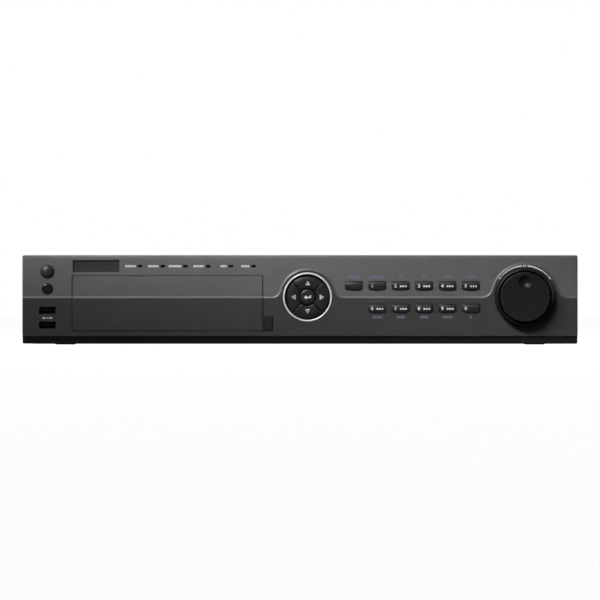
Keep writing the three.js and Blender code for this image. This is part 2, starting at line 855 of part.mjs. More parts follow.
const rcaEnd = caseBack + rcaReach;
const rcaProfile = [
  [0, housingBack - 2],
  [rcaRadius, housingBack - 2],
  [rcaRadius, rcaEnd],
  [1.7, rcaEnd],
  [1.7, rcaEnd - 8],
  [0, rcaEnd - 8],
];
addNode("audio_connector_block", socketBlock(audioSpots, 6.5, rcaProfile), finishes.nickel);

const networkHollow = join(
  block(networkX, portRow + 0.6, 11.9, 7.4, caseBack - 12, caseBack + 2),
  block(networkX, portRow - 4.2, 6.2, 3.4, caseBack - 12, caseBack + 2),
);
addNode("network_port", cut(portBody(ports.network, 16), networkHollow), finishes.nickel);

const rearUsbEnd = caseBack + ports.usb.out;
const rearUsb = usbSocket(rearUsbX, portRow, -rearUsbEnd, -rearUsbEnd + connectorHousing).mirror([0, 1, 0]);
addNode("rear_usb_port", rearUsb, finishes.nickel);

const hdmiHollow = cut(
  block(hdmiX, portRow, 14.2, 5.6, caseBack - 9, caseBack + 2),
  block(hdmiX, portRow, 11.4, 1.2, caseBack - 10, caseBack - 0.6),
);
addNode("hdmi_port", cut(portBody(ports.hdmi, 12), hdmiHollow), finishes.nickel);

function vgaPort() {
  const nutX = 12.5;
  const collar = polygon([
    [vgaX - 8.4, portRow + 4],
    [vgaX + 8.4, portRow + 4],
    [vgaX + 7, portRow - 4],
    [vgaX - 7, portRow - 4],
  ]);
  return join(
    portBody(ports.vga, 12),
    alongY(collar, caseBack, caseBack + 6.2),
    rod(vgaX - nutX, portRow, 2.6, caseBack, caseBack + 5.5, 6),
    rod(vgaX + nutX, portRow, 2.6, caseBack, caseBack + 5.5, 6),
  );
}

addNode("vga_connector", vgaPort(), finishes.nickel);

function terminalBlock() {
  const body = portBody(ports.terminals, 10);
  const end = caseBack + ports.terminals.out;
  const holes = [];
  for (let i = 0; i < terminalPins; i += 1) {
    const x = terminalX + (i - (terminalPins - 1) / 2) * terminalPitch;
    holes.push(block(x, lowerRow - 3.6, 3, 3.4, end - 4, end + 1));
    holes.push(block(x, lowerRow + 3.8, 3, 3, end - 1, end + 1));
  }
  return cut(body, ...holes);
}

addNode("alarm_terminal_block", terminalBlock(), finishes.terminalGreen);

// The mains inlet: a flanged body, a recess for the plug with two bevelled lower corners, and three flat pins.
function mainsInlet() {
  const end = caseBack + inletFlange;
  const bevel = 5;
  const w = inletWidth / 2;
  const h = inletSizeZ / 2;
  const recess = polygon([
    [inletX - w, inletHeight + h],
    [inletX + w, inletHeight + h],
    [inletX + w, inletHeight - h + bevel],
    [inletX + w - bevel, inletHeight - h],
    [inletX - w + bevel, inletHeight - h],
    [inletX - w, inletHeight - h + bevel],
  ]);
  const body = join(
    portBody(ports.inlet, inletDepth),
    block(inletX, inletHeight, inletWidth + 22, inletSizeZ + 6, caseBack + seatGap, end),
  );
  const pin = (x, z) => block(x, z, 2, 4, end - inletDepth - 1, end - 3);
  return join(
    cut(body, alongY(recess, end - inletDepth, end + 1)),
    pin(inletX - 7, inletHeight - 1),
    pin(inletX + 7, inletHeight - 1),
    pin(inletX, inletHeight + 3),
  );
}

addNode("power_inlet", mainsInlet(), finishes.moulded);

const rockerEnd = caseBack + ports.rocker.out;
const switchHousing = cut(
  join(
    portBody(ports.rocker, 16),
    block(rockerX, inletHeight, rockerWidth + 6, rockerSizeZ + 6, caseBack + seatGap, rockerEnd),
  ),
  block(
    rockerX,
    inletHeight,
    rockerWidth + 2 * turnGap,
    rockerSizeZ + 4 * turnGap,
    rockerEnd - 9,
    rockerEnd + 1,
  ),
);
addNode("power_switch_housing", switchHousing, finishes.moulded);

// The rocker turns about a left-right axis just inside the housing's mouth, its two faces at a shallow angle.
const rockerPivot = rockerEnd - 3;
const rockerFace = polygon([
  [-3, -rockerSizeZ / 2 + 0.8],
  [4.2, -rockerSizeZ / 2 + 0.2],
  [2.2, 0],
  [4.2, rockerSizeZ / 2 - 0.2],
  [-3, rockerSizeZ / 2 - 0.8],
]);
const rocker = addNode("power_rocker", alongX(rockerFace, -rockerWidth / 2, rockerWidth / 2), finishes.moulded);
rocker.position.set(rockerX, rockerPivot, inletHeight);
rocker.rotation.x = THREE.MathUtils.degToRad(rockerTilt);

// ------------------------------------------------------------------------------------------
// Fan
// ------------------------------------------------------------------------------------------

const fanBack = panelFront - seatGap;
const fanFront = fanBack - fanDepth;
const strutDepth = 2;

function fanFrame() {
  const ring = cut(
    block(fanX, fanHeight, fanSize, fanSize, fanFront, fanBack),
    rod(fanX, fanHeight, fanRadius, fanFront - 1, fanBack + 1, knobSteps),
  );
  const strutY = [fanFront, fanFront + strutDepth];
  return join(
    ring,
    rod(fanX, fanHeight, fanHubRadius, ...strutY, buttonSteps),
    block(fanX, fanHeight, fanSize - 2, 3, ...strutY),
    block(fanX, fanHeight, 3, fanSize - 2, ...strutY),
  );
}

addNode("fan_frame", fanFrame(), finishes.moulded);

function fanRotor() {
  const front = fanFront + strutDepth + 0.8;
  const back = fanBack - 1;
  const hub = rod(fanX, fanHeight, fanHubRadius, front, back, buttonSteps);
  const bladeReach = fanRadius - turnGap - 0.6;
  const blades = [];
  for (let i = 0; i < bladeCount; i += 1) {
    const blade = new THREE.BoxGeometry(bladeReach - fanHubRadius + 2, 1.2, 11);
    blade.rotateX(THREE.MathUtils.degToRad(38));
    blade.translate((bladeReach + fanHubRadius - 2) / 2, 0, 0);
    blade.rotateY((i * 2 * Math.PI) / bladeCount);
    blades.push(solid(blade.translate(fanX, (front + back) / 2, fanHeight)));
  }
  return join(hub, ...blades);
}

addNode("fan_rotor", fanRotor(), finishes.moulded);

// ------------------------------------------------------------------------------------------
// Inside the case
// ------------------------------------------------------------------------------------------

const diskFront = caseFront + diskSetback;
const bracketFloor = floorTop + seatGap;
const diskLower = bracketFloor + sheet + seatGap;
const bracketHalf = diskWidth / 2 + seatGap + sheet;
const bracketTop = diskLower + 2 * diskHeight + 2 * seatGap;
const bracket = cut(
  box(diskX - bracketHalf, diskX + bracketHalf, diskFront, diskFront + diskDepth, bracketFloor, bracketTop),
  box(
    diskX - bracketHalf + sheet,
    diskX + bracketHalf - sheet,
    diskFront - 1,
    diskFront + diskDepth + 1,
    bracketFloor + sheet,
    bracketTop + 1,
  ),
);
addNode("hdd_bracket", bracket, finishes.plainSteel);

function hardDisk(bottom) {
  const halfWidth = diskWidth / 2;
  const end = diskFront + diskDepth;
  return join(
    box(diskX - halfWidth, diskX + halfWidth, diskFront, end, bottom, bottom + diskHeight - 3),
    box(diskX - halfWidth + 3, diskX + halfWidth - 3, diskFront + 4, end - 22, bottom + 5, bottom + diskHeight),
  );
}

addNode("hard_disk_1", hardDisk(diskLower), finishes.aluminium);
addNode("hard_disk_2", hardDisk(diskLower + diskHeight + seatGap), finishes.aluminium);

const supplyFront = driveBack + supplyGap;
const supplyBack = panelFront - supplyRear;
const supply = join(
  block(supplyX, floorTop + seatGap + supplyHeight / 2, supplyWidth, supplyHeight, supplyFront, supplyBack),
  block(supplyX, floorTop + seatGap + 1, supplyWidth + 16, 2, supplyFront + 20, supplyBack - 20),
);
addNode("power_supply", supply, finishes.plainSteel);

const boardLow = floorTop + seatGap + standoff;
const mainFront = diskFront + diskDepth + mainBoardGap;
const mainBack = housingFront - 4;
function mainBoard() {
  const left = mainBoardX - mainBoardWidth / 2;
  const right = mainBoardX + mainBoardWidth / 2;
  const plate = box(left, right, mainFront, mainBack, boardLow, boardLow + boardThickness);
  const posts = [];
  for (const x of [left + 8, right - 8]) {
    for (const y of [mainFront + 8, mainBack - 8]) {
      const post = new THREE.CylinderGeometry(3, 3, standoff + 1, 6).rotateX(Math.PI / 2);
      posts.push(solid(post.translate(x, y, boardLow - standoff / 2 + 0.5)));
    }
  }
  return join(plate, ...posts);
}

addNode("main_board", mainBoard(), finishes.board);

function heatSink() {
  const base = boardLow + boardThickness + seatGap;
  const width = finCount * finPitch;
  const shape = new THREE.Shape();
  const left = mainBoardX - width / 2;
  shape.moveTo(left, base);
  shape.lineTo(left + width - 3, base);
  for (let i = finCount - 1; i >= 0; i -= 1) {
    const x = left + i * finPitch;
    shape.lineTo(x + 2, base + (i === finCount - 1 ? 0 : 3));
    shape.lineTo(x + 2, base + 22);
    shape.lineTo(x, base + 22);
    if (i > 0) shape.lineTo(x, base + 3);
  }
  shape.closePath();
  return alongY(shape, (mainFront + mainBack - heatSinkRear) / 2, mainBack - heatSinkRear);
}

addNode("heat_sink", heatSink(), finishes.aluminium);

const groundProfile = [
  [0, -0.5],
  [4, -0.5],
  [4, 1.6],
  [3, 2.4],
  [0, 2.4],
];
const groundScrew = addNode("ground_screw", turned(groundProfile, 0, 0, smallSteps), finishes.nickel);
groundScrew.position.set(-innerHalf + 12, caseBack + 0.6, lowerRow - 6);

// ------------------------------------------------------------------------------------------
// The part's own frame: origin on the supporting surface, under the middle of the whole recorder.
// ------------------------------------------------------------------------------------------

recorder.position.set(0, -(dialFront + bncEnd) / 2, footDrop);

export default recorder;
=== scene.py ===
"""A rack-width digital video recorder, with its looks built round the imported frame.

Lengths are millimetres in the recorder's local frame, as in the CAD: x to the right seen from the
front, y behind the bezel's front face, z above the bezel's lower edge. place() turns them into metres.
"""

import math
from types import SimpleNamespace

import bmesh
import bpy
from mathutils import Matrix, Vector


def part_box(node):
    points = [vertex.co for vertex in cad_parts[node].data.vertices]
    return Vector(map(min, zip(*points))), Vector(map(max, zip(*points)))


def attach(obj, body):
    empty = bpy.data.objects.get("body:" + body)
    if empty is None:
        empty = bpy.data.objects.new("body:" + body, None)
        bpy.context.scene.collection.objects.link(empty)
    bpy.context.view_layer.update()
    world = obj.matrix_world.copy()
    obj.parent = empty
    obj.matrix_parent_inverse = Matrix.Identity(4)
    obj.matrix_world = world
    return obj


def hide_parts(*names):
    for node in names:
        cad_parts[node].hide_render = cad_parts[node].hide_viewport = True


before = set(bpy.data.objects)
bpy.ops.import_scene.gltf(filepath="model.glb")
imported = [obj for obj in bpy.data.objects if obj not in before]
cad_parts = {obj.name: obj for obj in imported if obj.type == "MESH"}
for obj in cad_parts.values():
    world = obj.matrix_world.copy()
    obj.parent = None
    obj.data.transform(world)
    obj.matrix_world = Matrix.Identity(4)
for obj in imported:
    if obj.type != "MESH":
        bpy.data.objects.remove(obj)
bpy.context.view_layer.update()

MM = 0.001
PRINT = 0.04  # thickness of printed marks
CAPITAL = 0.7  # height of a capital in a font of size 1
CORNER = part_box("front_bezel")[0]
ORIGIN = Vector((0, CORNER.y, CORNER.z))


def place(x, y, z):
    return ORIGIN + Vector((x, y, z)) * MM


def extent(node):
    """A CAD node's box in the local frame: its sides, its middle and its size."""
    low, high = [(corner - ORIGIN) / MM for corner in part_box(node)]
    middle, size = (low + high) / 2, high - low
    return SimpleNamespace(
        x0=low.x, x1=high.x, y0=low.y, y1=high.y, z0=low.z, z1=high.z,
        x=middle.x, y=middle.y, z=middle.z, width=size.x, depth=size.y, height=size.z,
    )


# --- Solids: points, faces and one normal for each point ---


class Solid:
    def __init__(self, points=(), faces=(), normals=()):
        self.points = list(points)
        self.faces = list(faces)
        self.normals = list(normals)

    def __add__(self, other):
        shift = len(self.points)
        moved = [tuple(i + shift for i in face) for face in other.faces]
        return Solid(self.points + other.points, self.faces + moved, self.normals + other.normals)

    def placed(self, matrix):
        turn = matrix.to_3x3()
        return Solid([matrix @ p for p in self.points], self.faces, [turn @ n for n in self.normals])

    def shifted(self, x, y, z):
        return self.placed(Matrix.Translation((x, y, z)))


def joined(solids):
    return sum(solids, Solid())


def weighted_normals(points, faces):
    """Normals weighted by area, so that wide faces stay flat and their rounded edges blend into them."""
    normals = [Vector() for _ in points]
    for face in faces:
        first = points[face[0]]
        area = Vector()
        for i in range(1, len(face) - 1):
            area += (points[face[i]] - first).cross(points[face[i + 1]] - first)
        for i in face:
            normals[i] += area
    return [n.normalized() for n in normals]


def from_bmesh(bm):
    bmesh.ops.recalc_face_normals(bm, faces=bm.faces)
    bm.verts.index_update()
    points = [v.co.copy() for v in bm.verts]
    faces = [tuple(v.index for v in f.verts) for f in bm.faces]
    bm.free()
    return Solid(points, faces, weighted_normals(points, faces))


def closed(points, faces, merge=0.0):
    """A solid from points and faces given in any winding; points no further apart than merge become one."""
    bm = bmesh.new()
    verts = [bm.verts.new(p) for p in points]
    for face in faces:
        bm.faces.new([verts[i] for i in face])
    if merge:
        bmesh.ops.remove_doubles(bm, verts=bm.verts, dist=merge)
    return from_bmesh(bm)


def soften(line, radius, loop=False, steps=3):
    """Rounds each corner of a line of points."""
    points = [Vector(p) for p in line]
    count = len(points)
    out = []
    for i, corner in enumerate(points):
        if not loop and i in (0, count - 1):
            out.append(corner)
            continue
        before, after = points[i - 1] - corner, points[(i + 1) % count] - corner
        cut = min(radius, before.length * 0.49, after.length * 0.49)
        start, end = corner + before.normalized() * cut, corner + after.normalized() * cut
        for k in range(steps + 1):
            t = k / steps
            out.append(start * (1 - t) ** 2 + corner * 2 * t * (1 - t) + end * t * t)
    return [tuple(p) for p in out]


def soft_box(x0, x1, y0, y1, z0, z1, radius=0.3, steps=2):
    bm = bmesh.new()
    bmesh.ops.create_cube(bm, size=1)
    size = Vector((x1 - x0, y1 - y0, z1 - z0))
    middle = Vector((x1 + x0, y1 + y0, z1 + z0)) / 2
    for v in bm.verts:
        v.co = middle + Vector(a * b for a, b in zip(v.co, size))
    reach = min(radius, 0.45 * min(size))
    bmesh.ops.bevel(bm, geom=bm.edges[:], offset=reach, segments=steps, profile=0.5, affect="EDGES")
    return from_bmesh(bm)


def block(x, z, width, height, y0, y1, radius=0.3, steps=2):
    return soft_box(x - width / 2, x + width / 2, y0, y1, z - height / 2, z + height / 2, radius, steps)


def turned(profile, steps=48, loop=False):
    """Turns (radius, y) points about the y axis; a profile that isn't a loop starts and ends on the axis."""
    points, rings = [], []
    for radius, y in profile:
        count = 1 if radius < 1e-6 else steps
        rings.append(range(len(points), len(points) + count))
        for k in range(count):
            angle = 2 * math.pi * k / steps
            points.append(Vector((radius * math.cos(angle), y, radius * math.sin(angle))))
    faces = []
    pairs = list(zip(rings, rings[1:])) + ([(rings[-1], rings[0])] if loop else [])
    for a, b in pairs:
        for k in range(steps):
            n = (k + 1) % steps
            corners = [a[k % len(a)], a[n % len(a)], b[n % len(b)], b[k % len(b)]]
            face = tuple(dict.fromkeys(corners))
            if len(face) > 2:
                faces.append(face)
    return closed(points, faces)


def rod(radius, y0, y1, soft=0.2, steps=32):
    return turned(soften([(0, y0), (radius, y0), (radius, y1), (0, y1)], soft), steps)


def tube(outer, inner, y0, y1, soft=0.15, steps=40):
    line = [(inner, y0), (outer, y0), (outer, y1), (inner, y1)]
    return turned(soften(line, soft, loop=True), steps, loop=True)


def sheet(outlines, thickness, surface, bevel=0.3, rounds=1, cuts_u=(), cuts_v=()):
    """A plate with rounded edges: outlines are the rim and then the holes, each a closed list of (u, v).

    surface(u, v) is a point of the plate's front. The front keeps the surface's own normals, so it
    shades smoothly. cuts_u and cuts_v are where the plate is cut across, so that it can bend.
    """
    curve = bpy.data.curves.new("outline", "CURVE")
    curve.dimensions = "2D"
    curve.fill_mode = "BOTH"
    curve.extrude = thickness / 2 - bevel
    curve.bevel_depth = bevel
    curve.bevel_resolution = rounds
    curve.offset = -bevel
    for outline in outlines:
        spline = curve.splines.new("POLY")
        spline.points.add(len(outline) - 1)
        for point, (u, v) in zip(spline.points, outline):
            point.co = (u, v, 0, 1)
        spline.use_cyclic_u = True
    holder = bpy.data.objects.new("outline", curve)
    flat = bpy.data.meshes.new_from_object(holder)
    bpy.data.objects.remove(holder)
    bm = bmesh.new()
    bm.from_mesh(flat)
    bpy.data.meshes.remove(flat)
    bpy.data.curves.remove(curve)
    bmesh.ops.remove_doubles(bm, verts=bm.verts, dist=1e-3)
    for axis, cuts in ((Vector((1, 0, 0)), cuts_u), (Vector((0, 1, 0)), cuts_v)):
        for cut in cuts:
            everything = bm.verts[:] + bm.edges[:] + bm.faces[:]
            bmesh.ops.bisect_plane(bm, geom=everything, plane_co=axis * cut, plane_no=axis, dist=1e-5)
    bmesh.ops.recalc_face_normals(bm, faces=bm.faces)
    bm.normal_update()
    bm.verts.index_update()
    points, normals = [], []
    step = 0.01
    for vert in bm.verts:
        u, v, w = vert.co
        if abs(w - thickness / 2) < 1e-4:
            normal = Vector((0, 0, 1))
        elif abs(w + thickness / 2) < 1e-4:
            normal = Vector((0, 0, -1))
        else:
            normal = vert.normal
        point = Vector(surface(u, v))
        across = (Vector(surface(u + step, v)) - point).normalized()
        out = across.cross(Vector(surface(u, v + step)) - point).normalized()
        along = out.cross(across)
        points.append(point + out * (w - thickness / 2))
        normals.append(across * normal.x + along * normal.y + out * normal.z)
    faces = [tuple(v.index for v in f.verts) for f in bm.faces]
    bm.free()
    return Solid(points, faces, normals)


def facing_front(y):
    return lambda u, v: (u, y, v)


def facing_back(y):
    """Outlines for the rear are drawn in (-x, z), so that they face backwards."""
    return lambda u, v: (-u, y, v)


def rectangle(x, z, width, height, corner=0.0, steps=4):
    w, h = width / 2, height / 2
    line = [(x - w, z - h), (x + w, z - h), (x + w, z + h), (x - w, z + h)]
    return soften(line, corner, loop=True, steps=steps) if corner else line


def circle(x, z, radius, steps=64):
    turn = 2 * math.pi / steps
    return [(x + radius * math.cos(i * turn), z + radius * math.sin(i * turn)) for i in range(steps)]


def arc(x, z, radius, start, end, steps=24):
    """Points from angle start to angle end, in radians, both included."""
    angles = [start + (end - start) * i / steps for i in range(steps + 1)]
    return [(x + radius * math.cos(a), z + radius * math.sin(a)) for a in angles]


def moved(outline, x, z):
    return [(x + u, z + v) for u, v in outline]


def levels(low, high, count):
    """The marks between low and high that divide the way into count equal steps."""
    return [low + (high - low) * i / count for i in range(1, count)]


def lettering(text, height, x, z, y, back=False, weight=0.0):
    """Flat printed characters of a given capital height, centred on x, z, and made bolder by weight."""
    curve = bpy.data.curves.new("lettering", "FONT")
    curve.body = text
    curve.size = height / CAPITAL
    curve.align_x = "CENTER"
    curve.align_y = "CENTER"
    curve.extrude = PRINT / 2
    curve.offset = weight
    curve.resolution_u = 3
    holder = bpy.data.objects.new("lettering", curve)
    mesh = bpy.data.meshes.new_from_object(holder)
    side = -1 if back else 1
    points = [Vector((x + side * v.co.x, y - side * v.co.z, z + v.co.y)) for v in mesh.vertices]
    faces = [tuple(p.vertices) for p in mesh.polygons]
    bpy.data.objects.remove(holder)
    bpy.data.meshes.remove(mesh)
    bpy.data.curves.remove(curve)
    return closed(points, faces, merge=1e-4)


def printed(outlines, surface):
    """A printed mark: its outline, and any holes, a paint layer thick on a surface."""
    return sheet(outlines, PRINT, surface, bevel=0.004, rounds=0)


# --- Materials ---


BLOTCH = 18.0  # width of the slow changes of tone
NOISE_LOW, NOISE_HIGH = 0.3, 0.7  # a noise's usual range


def shader(name):
    made = bpy.data.materials.new(name)
    made.use_nodes = True
    nodes, links = made.node_tree.nodes, made.node_tree.links
    return made, nodes, links, nodes["Principled BSDF"]


def noise(nodes, links, size_mm, detail=3.0, stretch=(1, 1, 1)):
    """A noise whose lumps are about size_mm wide, the same from every side."""
    where = nodes.new("ShaderNodeTexCoord")
    scale = nodes.new("ShaderNodeMapping")
    scale.inputs["Scale"].default_value = [s / (size_mm * MM) for s in stretch]
    texture = nodes.new("ShaderNodeTexNoise")
    texture.inputs["Scale"].default_value = 1.0
    texture.inputs["Detail"].default_value = detail
    links.new(where.outputs["Object"], scale.inputs["Vector"])
    links.new(scale.outputs["Vector"], texture.inputs["Vector"])
    return texture.outputs["Fac"]


def spread(nodes, links, source, low, high):
    """Maps a noise's usual range to values from low to high."""
    ranged = nodes.new("ShaderNodeMapRange")
    ranged.inputs["From Min"].default_value = NOISE_LOW
    ranged.inputs["From Max"].default_value = NOISE_HIGH
    ranged.inputs["To Min"].default_value = low
    ranged.inputs["To Max"].default_value = high
    links.new(source, ranged.inputs["Value"])
    return ranged.outputs["Result"]


def tinted(nodes, links, source, colour, change):
    """Varies a colour by plus and minus a share of itself."""
    ramp = nodes.new("ShaderNodeValToRGB")
    ramp.color_ramp.elements[0].position = NOISE_LOW
    ramp.color_ramp.elements[1].position = NOISE_HIGH
    ramp.color_ramp.elements[0].color = [*(c * (1 - change) for c in colour), 1]
    ramp.color_ramp.elements[1].color = [*(c * (1 + change) for c in colour), 1]
    links.new(source, ramp.inputs["Fac"])
    return ramp.outputs["Color"]


def surface_finish(
    name, colour, roughness, grain, relief, change=0.06, spread_by=0.05, metal=0.0, specular=0.5, coat=0.0,
    stretch=(1, 1, 1),
):
    """A surface with fine grain in relief, with changes of tone over BLOTCH millimetres and of gloss."""
    made, nodes, links, bsdf = shader(name)
    slow = noise(nodes, links, BLOTCH, 4.0, stretch)
    fine = noise(nodes, links, grain, 3.0, stretch)
    links.new(tinted(nodes, links, slow, colour, change), bsdf.inputs["Base Color"])
    gloss = spread(nodes, links, fine, roughness - spread_by, roughness + spread_by)
    links.new(gloss, bsdf.inputs["Roughness"])
    bsdf.inputs["Metallic"].default_value = metal
    bsdf.inputs["Specular IOR Level"].default_value = specular
    bsdf.inputs["Coat Weight"].default_value = coat
    bsdf.inputs["Coat Roughness"].default_value = 0.08
    bump = nodes.new("ShaderNodeBump")
    bump.inputs["Strength"].default_value = 0.35
    bump.inputs["Distance"].default_value = relief * MM
    links.new(fine, bump.inputs["Height"])
    links.new(bump.outputs["Normal"], bsdf.inputs["Normal"])
    return made


ALONG_X = (0.04, 1, 1)  # brushing that runs along x
# For each finish: its slot in the record or None, the material's name, its colour (a grey is one number),
# roughness, the grain's size and relief in millimetres, and what differs from a plain moulded surface.
LOOKS = {
    "bezel": ("bezel", "bezel_plastic", 0.104, 0.46, 0.35, 0.03, {}),
    "fascia": ("fascia", "fascia_plastic", 0.034, 0.5, 0.35, 0.03, {}),
    # The fascia's sloping edges get about three times the fascia's grey: a painted highlight for the light
    # the slope catches from above.
    "edge_painted_highlight": ("fascia", "trim_edge_plastic", 0.105, 0.42, 0.3, 0.004, dict(change=0.02)),
    "keys": ("keys", "key_gloss", 0.018, 0.3, 0.3, 0.0006, dict(spread_by=0.03)),
    "power": ("knob", "power_cap_plastic", 0.026, 0.46, 0.3, 0.006, {}),
    "knob": ("knob", "knob_plastic", 0.008, 0.42, 0.3, 0.02, dict(specular=0.3)),
    "ring": ("ring", "ring_plating", 0.8, 0.35, 0.4, 0.003, dict(metal=0.15)),
    "pad": ("moulded", "pad_well", 0.006, 0.6, 0.4, 0.02, {}),
    "window": ("window", "smoked_window", (0.008, 0.006, 0.006), 0.12, 1.2, 0.002, dict(coat=0.4)),
    "ir": ("window", "infrared_window", (0.014, 0.008, 0.009), 0.14, 1.2, 0.002, dict(coat=0.4)),
    "plate": ("fascia", "name_plate_plastic", (0.038, 0.038, 0.039), 0.3, 0.5, 0.01, {}),
    "paint": (
        "painted_steel", "case_powder_coat", (0.022, 0.022, 0.023), 0.58, 0.7, 0.09,
        dict(change=0.1, specular=0.3),
    ),
    "steel": ("steel", "plain_sheet", (0.5, 0.51, 0.52), 0.36, 0.3, 0.01, dict(metal=1.0, stretch=ALONG_X)),
    "nickel": ("nickel", "nickel_plating", (0.6, 0.58, 0.54), 0.24, 0.5, 0.005, dict(metal=1.0)),
    "gold": (None, "gold_contact", (0.78, 0.56, 0.24), 0.22, 0.5, 0.003, dict(metal=1.0)),
    "board": ("circuit_board", "circuit_board", (0.015, 0.1, 0.045), 0.35, 1.5, 0.02, dict(change=0.2)),
    "moulded": ("moulded", "moulded_black", (0.018, 0.018, 0.019), 0.5, 0.5, 0.04, {}),
    "rubber": ("rubber", "foot_rubber", 0.014, 0.85, 0.6, 0.08, {}),
    "aluminium": ("aluminium", "cast_aluminium", (0.55, 0.56, 0.57), 0.42, 0.6, 0.03, dict(metal=1.0)),
    "green": ("terminal", "terminal_green", (0.02, 0.2, 0.075), 0.42, 0.6, 0.02, {}),
    "white_ink": (None, "white_print", 0.74, 0.55, 0.4, 0.004, {}),
    "blue_ink": (None, "violet_print", (0.135, 0.145, 0.235), 0.55, 0.4, 0.004, {}),
    "red": (None, "socket_red", (0.42, 0.018, 0.014), 0.38, 0.5, 0.01, {}),
    "vga_blue": (None, "socket_blue", (0.012, 0.04, 0.26), 0.38, 0.5, 0.01, {}),
    "white": (None, "socket_white", (0.62, 0.61, 0.58), 0.38, 0.5, 0.01, {}),
    "label": (None, "blank_label", (0.58, 0.58, 0.57), 0.3, 0.8, 0.003, {}),
}

finishes, SLOTS = {}, {}
for finish, (slot, name, colour, roughness, grain, relief, rest) in LOOKS.items():
    colour = colour if isinstance(colour, tuple) else (colour,) * 3
    finishes[finish] = surface_finish(name, colour, roughness, grain, relief, **rest)
    if slot:
        SLOTS[finish] = slot


def add(name, solid, finish, body="case", replaces=()):
    """Makes the object of a solid, rides it on its body and hides the CAD nodes that it stands for."""
    mesh = bpy.data.meshes.new(name)
    mesh.from_pydata([place(*p) for p in solid.points], [], solid.faces)
    mesh.materials.append(finishes[finish])
    for polygon in mesh.polygons:
        polygon.use_smooth = True
    mesh.normals_split_custom_set_from_vertices([n.normalized() for n in solid.normals])
    piece = bpy.data.objects.new(name, mesh)
    bpy.context.scene.collection.objects.link(piece)
    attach(piece, body)
    if replaces:
        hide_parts(*replaces)
    return piece


def dress(node, finish, bevel=0.2, sharp=42):
    """Gives a CAD node its finish and rounds its sharp edges."""
    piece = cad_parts[node]
    piece.data.materials.clear()
    piece.data.materials.append(finishes[finish])
    weld = piece.modifiers.new("weld", "WELD")
    weld.merge_threshold = 0.00001
    flat = piece.modifiers.new("flat", "DECIMATE")
    flat.decimate_type = "DISSOLVE"
    flat.angle_limit = math.radians(0.5)
    rounding = piece.modifiers.new("rounding", "BEVEL")
    rounding.width = bevel * MM
    rounding.segments = 2
    rounding.limit_method = "ANGLE"
    rounding.angle_limit = math.radians(sharp)
    rounding.harden_normals = True
    return piece


# --- Camera, floor and light ---

LENS = 600.0
SENSOR = 36.0
VIEW_WIDTH = 480.7  # what the view spans at the bezel's front face
VIEW_HEIGHT = 35.1  # height of the view's middle
CLIP_END = 40.0
FLOOR_SIZE = 26.0
DOME_RADIUS = 14.0
FLOOR_GLOW, DOME_GLOW, WORLD_GLOW = 0.92, 1.0, 0.07

distance = VIEW_WIDTH * LENS / SENSOR
camera_data = bpy.data.cameras.new("camera")
camera_data.lens = LENS
camera_data.sensor_width = SENSOR
camera_data.clip_end = CLIP_END
camera = bpy.data.objects.new("camera", camera_data)
camera.location = place(0, -distance, VIEW_HEIGHT)
camera.rotation_euler = (math.pi / 2, 0, 0)
bpy.context.scene.collection.objects.link(camera)
bpy.context.scene.camera = camera
bpy.context.scene.view_settings.view_transform = "Standard"


def soft_light(name, position, target, size, power, size_y=None, spread=180):
    data = bpy.data.lights.new(name, "AREA")
    data.shape = "RECTANGLE"
    data.size = size
    data.size_y = size_y or size
    data.energy = power
    data.spread = math.radians(spread)
    lamp = bpy.data.objects.new(name, data)
    lamp.location = position
    lamp.rotation_euler = (Vector(target) - Vector(position)).to_track_quat("-Z", "Y").to_euler()
    bpy.context.scene.collection.objects.link(lamp)
    return lamp


def stage_finish(name, colour, glow):
    made, nodes, links, bsdf = shader(name)
    soft = noise(nodes, links, 400.0, 2.0)
    links.new(tinted(nodes, links, soft, colour, 0.005), bsdf.inputs["Base Color"])
    bsdf.inputs["Roughness"].default_value = 0.9
    bsdf.inputs["Specular IOR Level"].default_value = 0.0
    bsdf.inputs["Emission Color"].default_value = (1, 1, 1, 1)
    bsdf.inputs["Emission Strength"].default_value = glow
    return made


def add_stage():
    bpy.ops.mesh.primitive_plane_add(size=FLOOR_SIZE, location=(0, 0, 0))
    floor = bpy.context.object
    floor.name = "floor"
    floor.data.materials.append(stage_finish("floor_paper", (0.75, 0.75, 0.75), FLOOR_GLOW))
    bpy.ops.mesh.primitive_uv_sphere_add(segments=48, ring_count=24, radius=DOME_RADIUS)
    dome = bpy.context.object
    dome.name = "backdrop"
    dome.data.materials.append(stage_finish("backdrop_paper", (0.0, 0.0, 0.0), DOME_GLOW))
    for piece in (floor, dome):
        piece.visible_diffuse = False
        piece.visible_glossy = False
        piece.visible_shadow = False


def add_lights():
    world = bpy.data.worlds.new("studio")
    world.use_nodes = True
    sky = world.node_tree.nodes["Background"].inputs
    sky["Color"].default_value = (1, 1, 1, 1)
    sky["Strength"].default_value = WORLD_GLOW
    bpy.context.scene.world = world
    soft_light("key", (-0.2, -0.44, 0.3), (-0.08, -0.19, 0.085), 0.85, 0.24, size_y=0.11, spread=25)
    soft_light("front_left", (-0.95, -1.1, 1.3), (-0.08, -0.19, 0.05), 0.7, 23.0)
    soft_light("left_side", (-1.7, 0.5, 0.6), (-0.22, 0, 0.03), 0.8, 6.0)
    soft_light("right_side", (1.7, 0.5, 0.6), (0.22, 0, 0.03), 0.8, 9.0)
    soft_light("rear_left", (-1.0, 1.7, 1.0), (0, 0.2, 0.03), 0.9, 13.0)
    soft_light("rear_right", (1.0, 1.7, 1.0), (0, 0.2, 0.03), 0.9, 13.0)


add_stage()
add_lights()

# --- Sizes that the front shares, from the CAD nodes ---

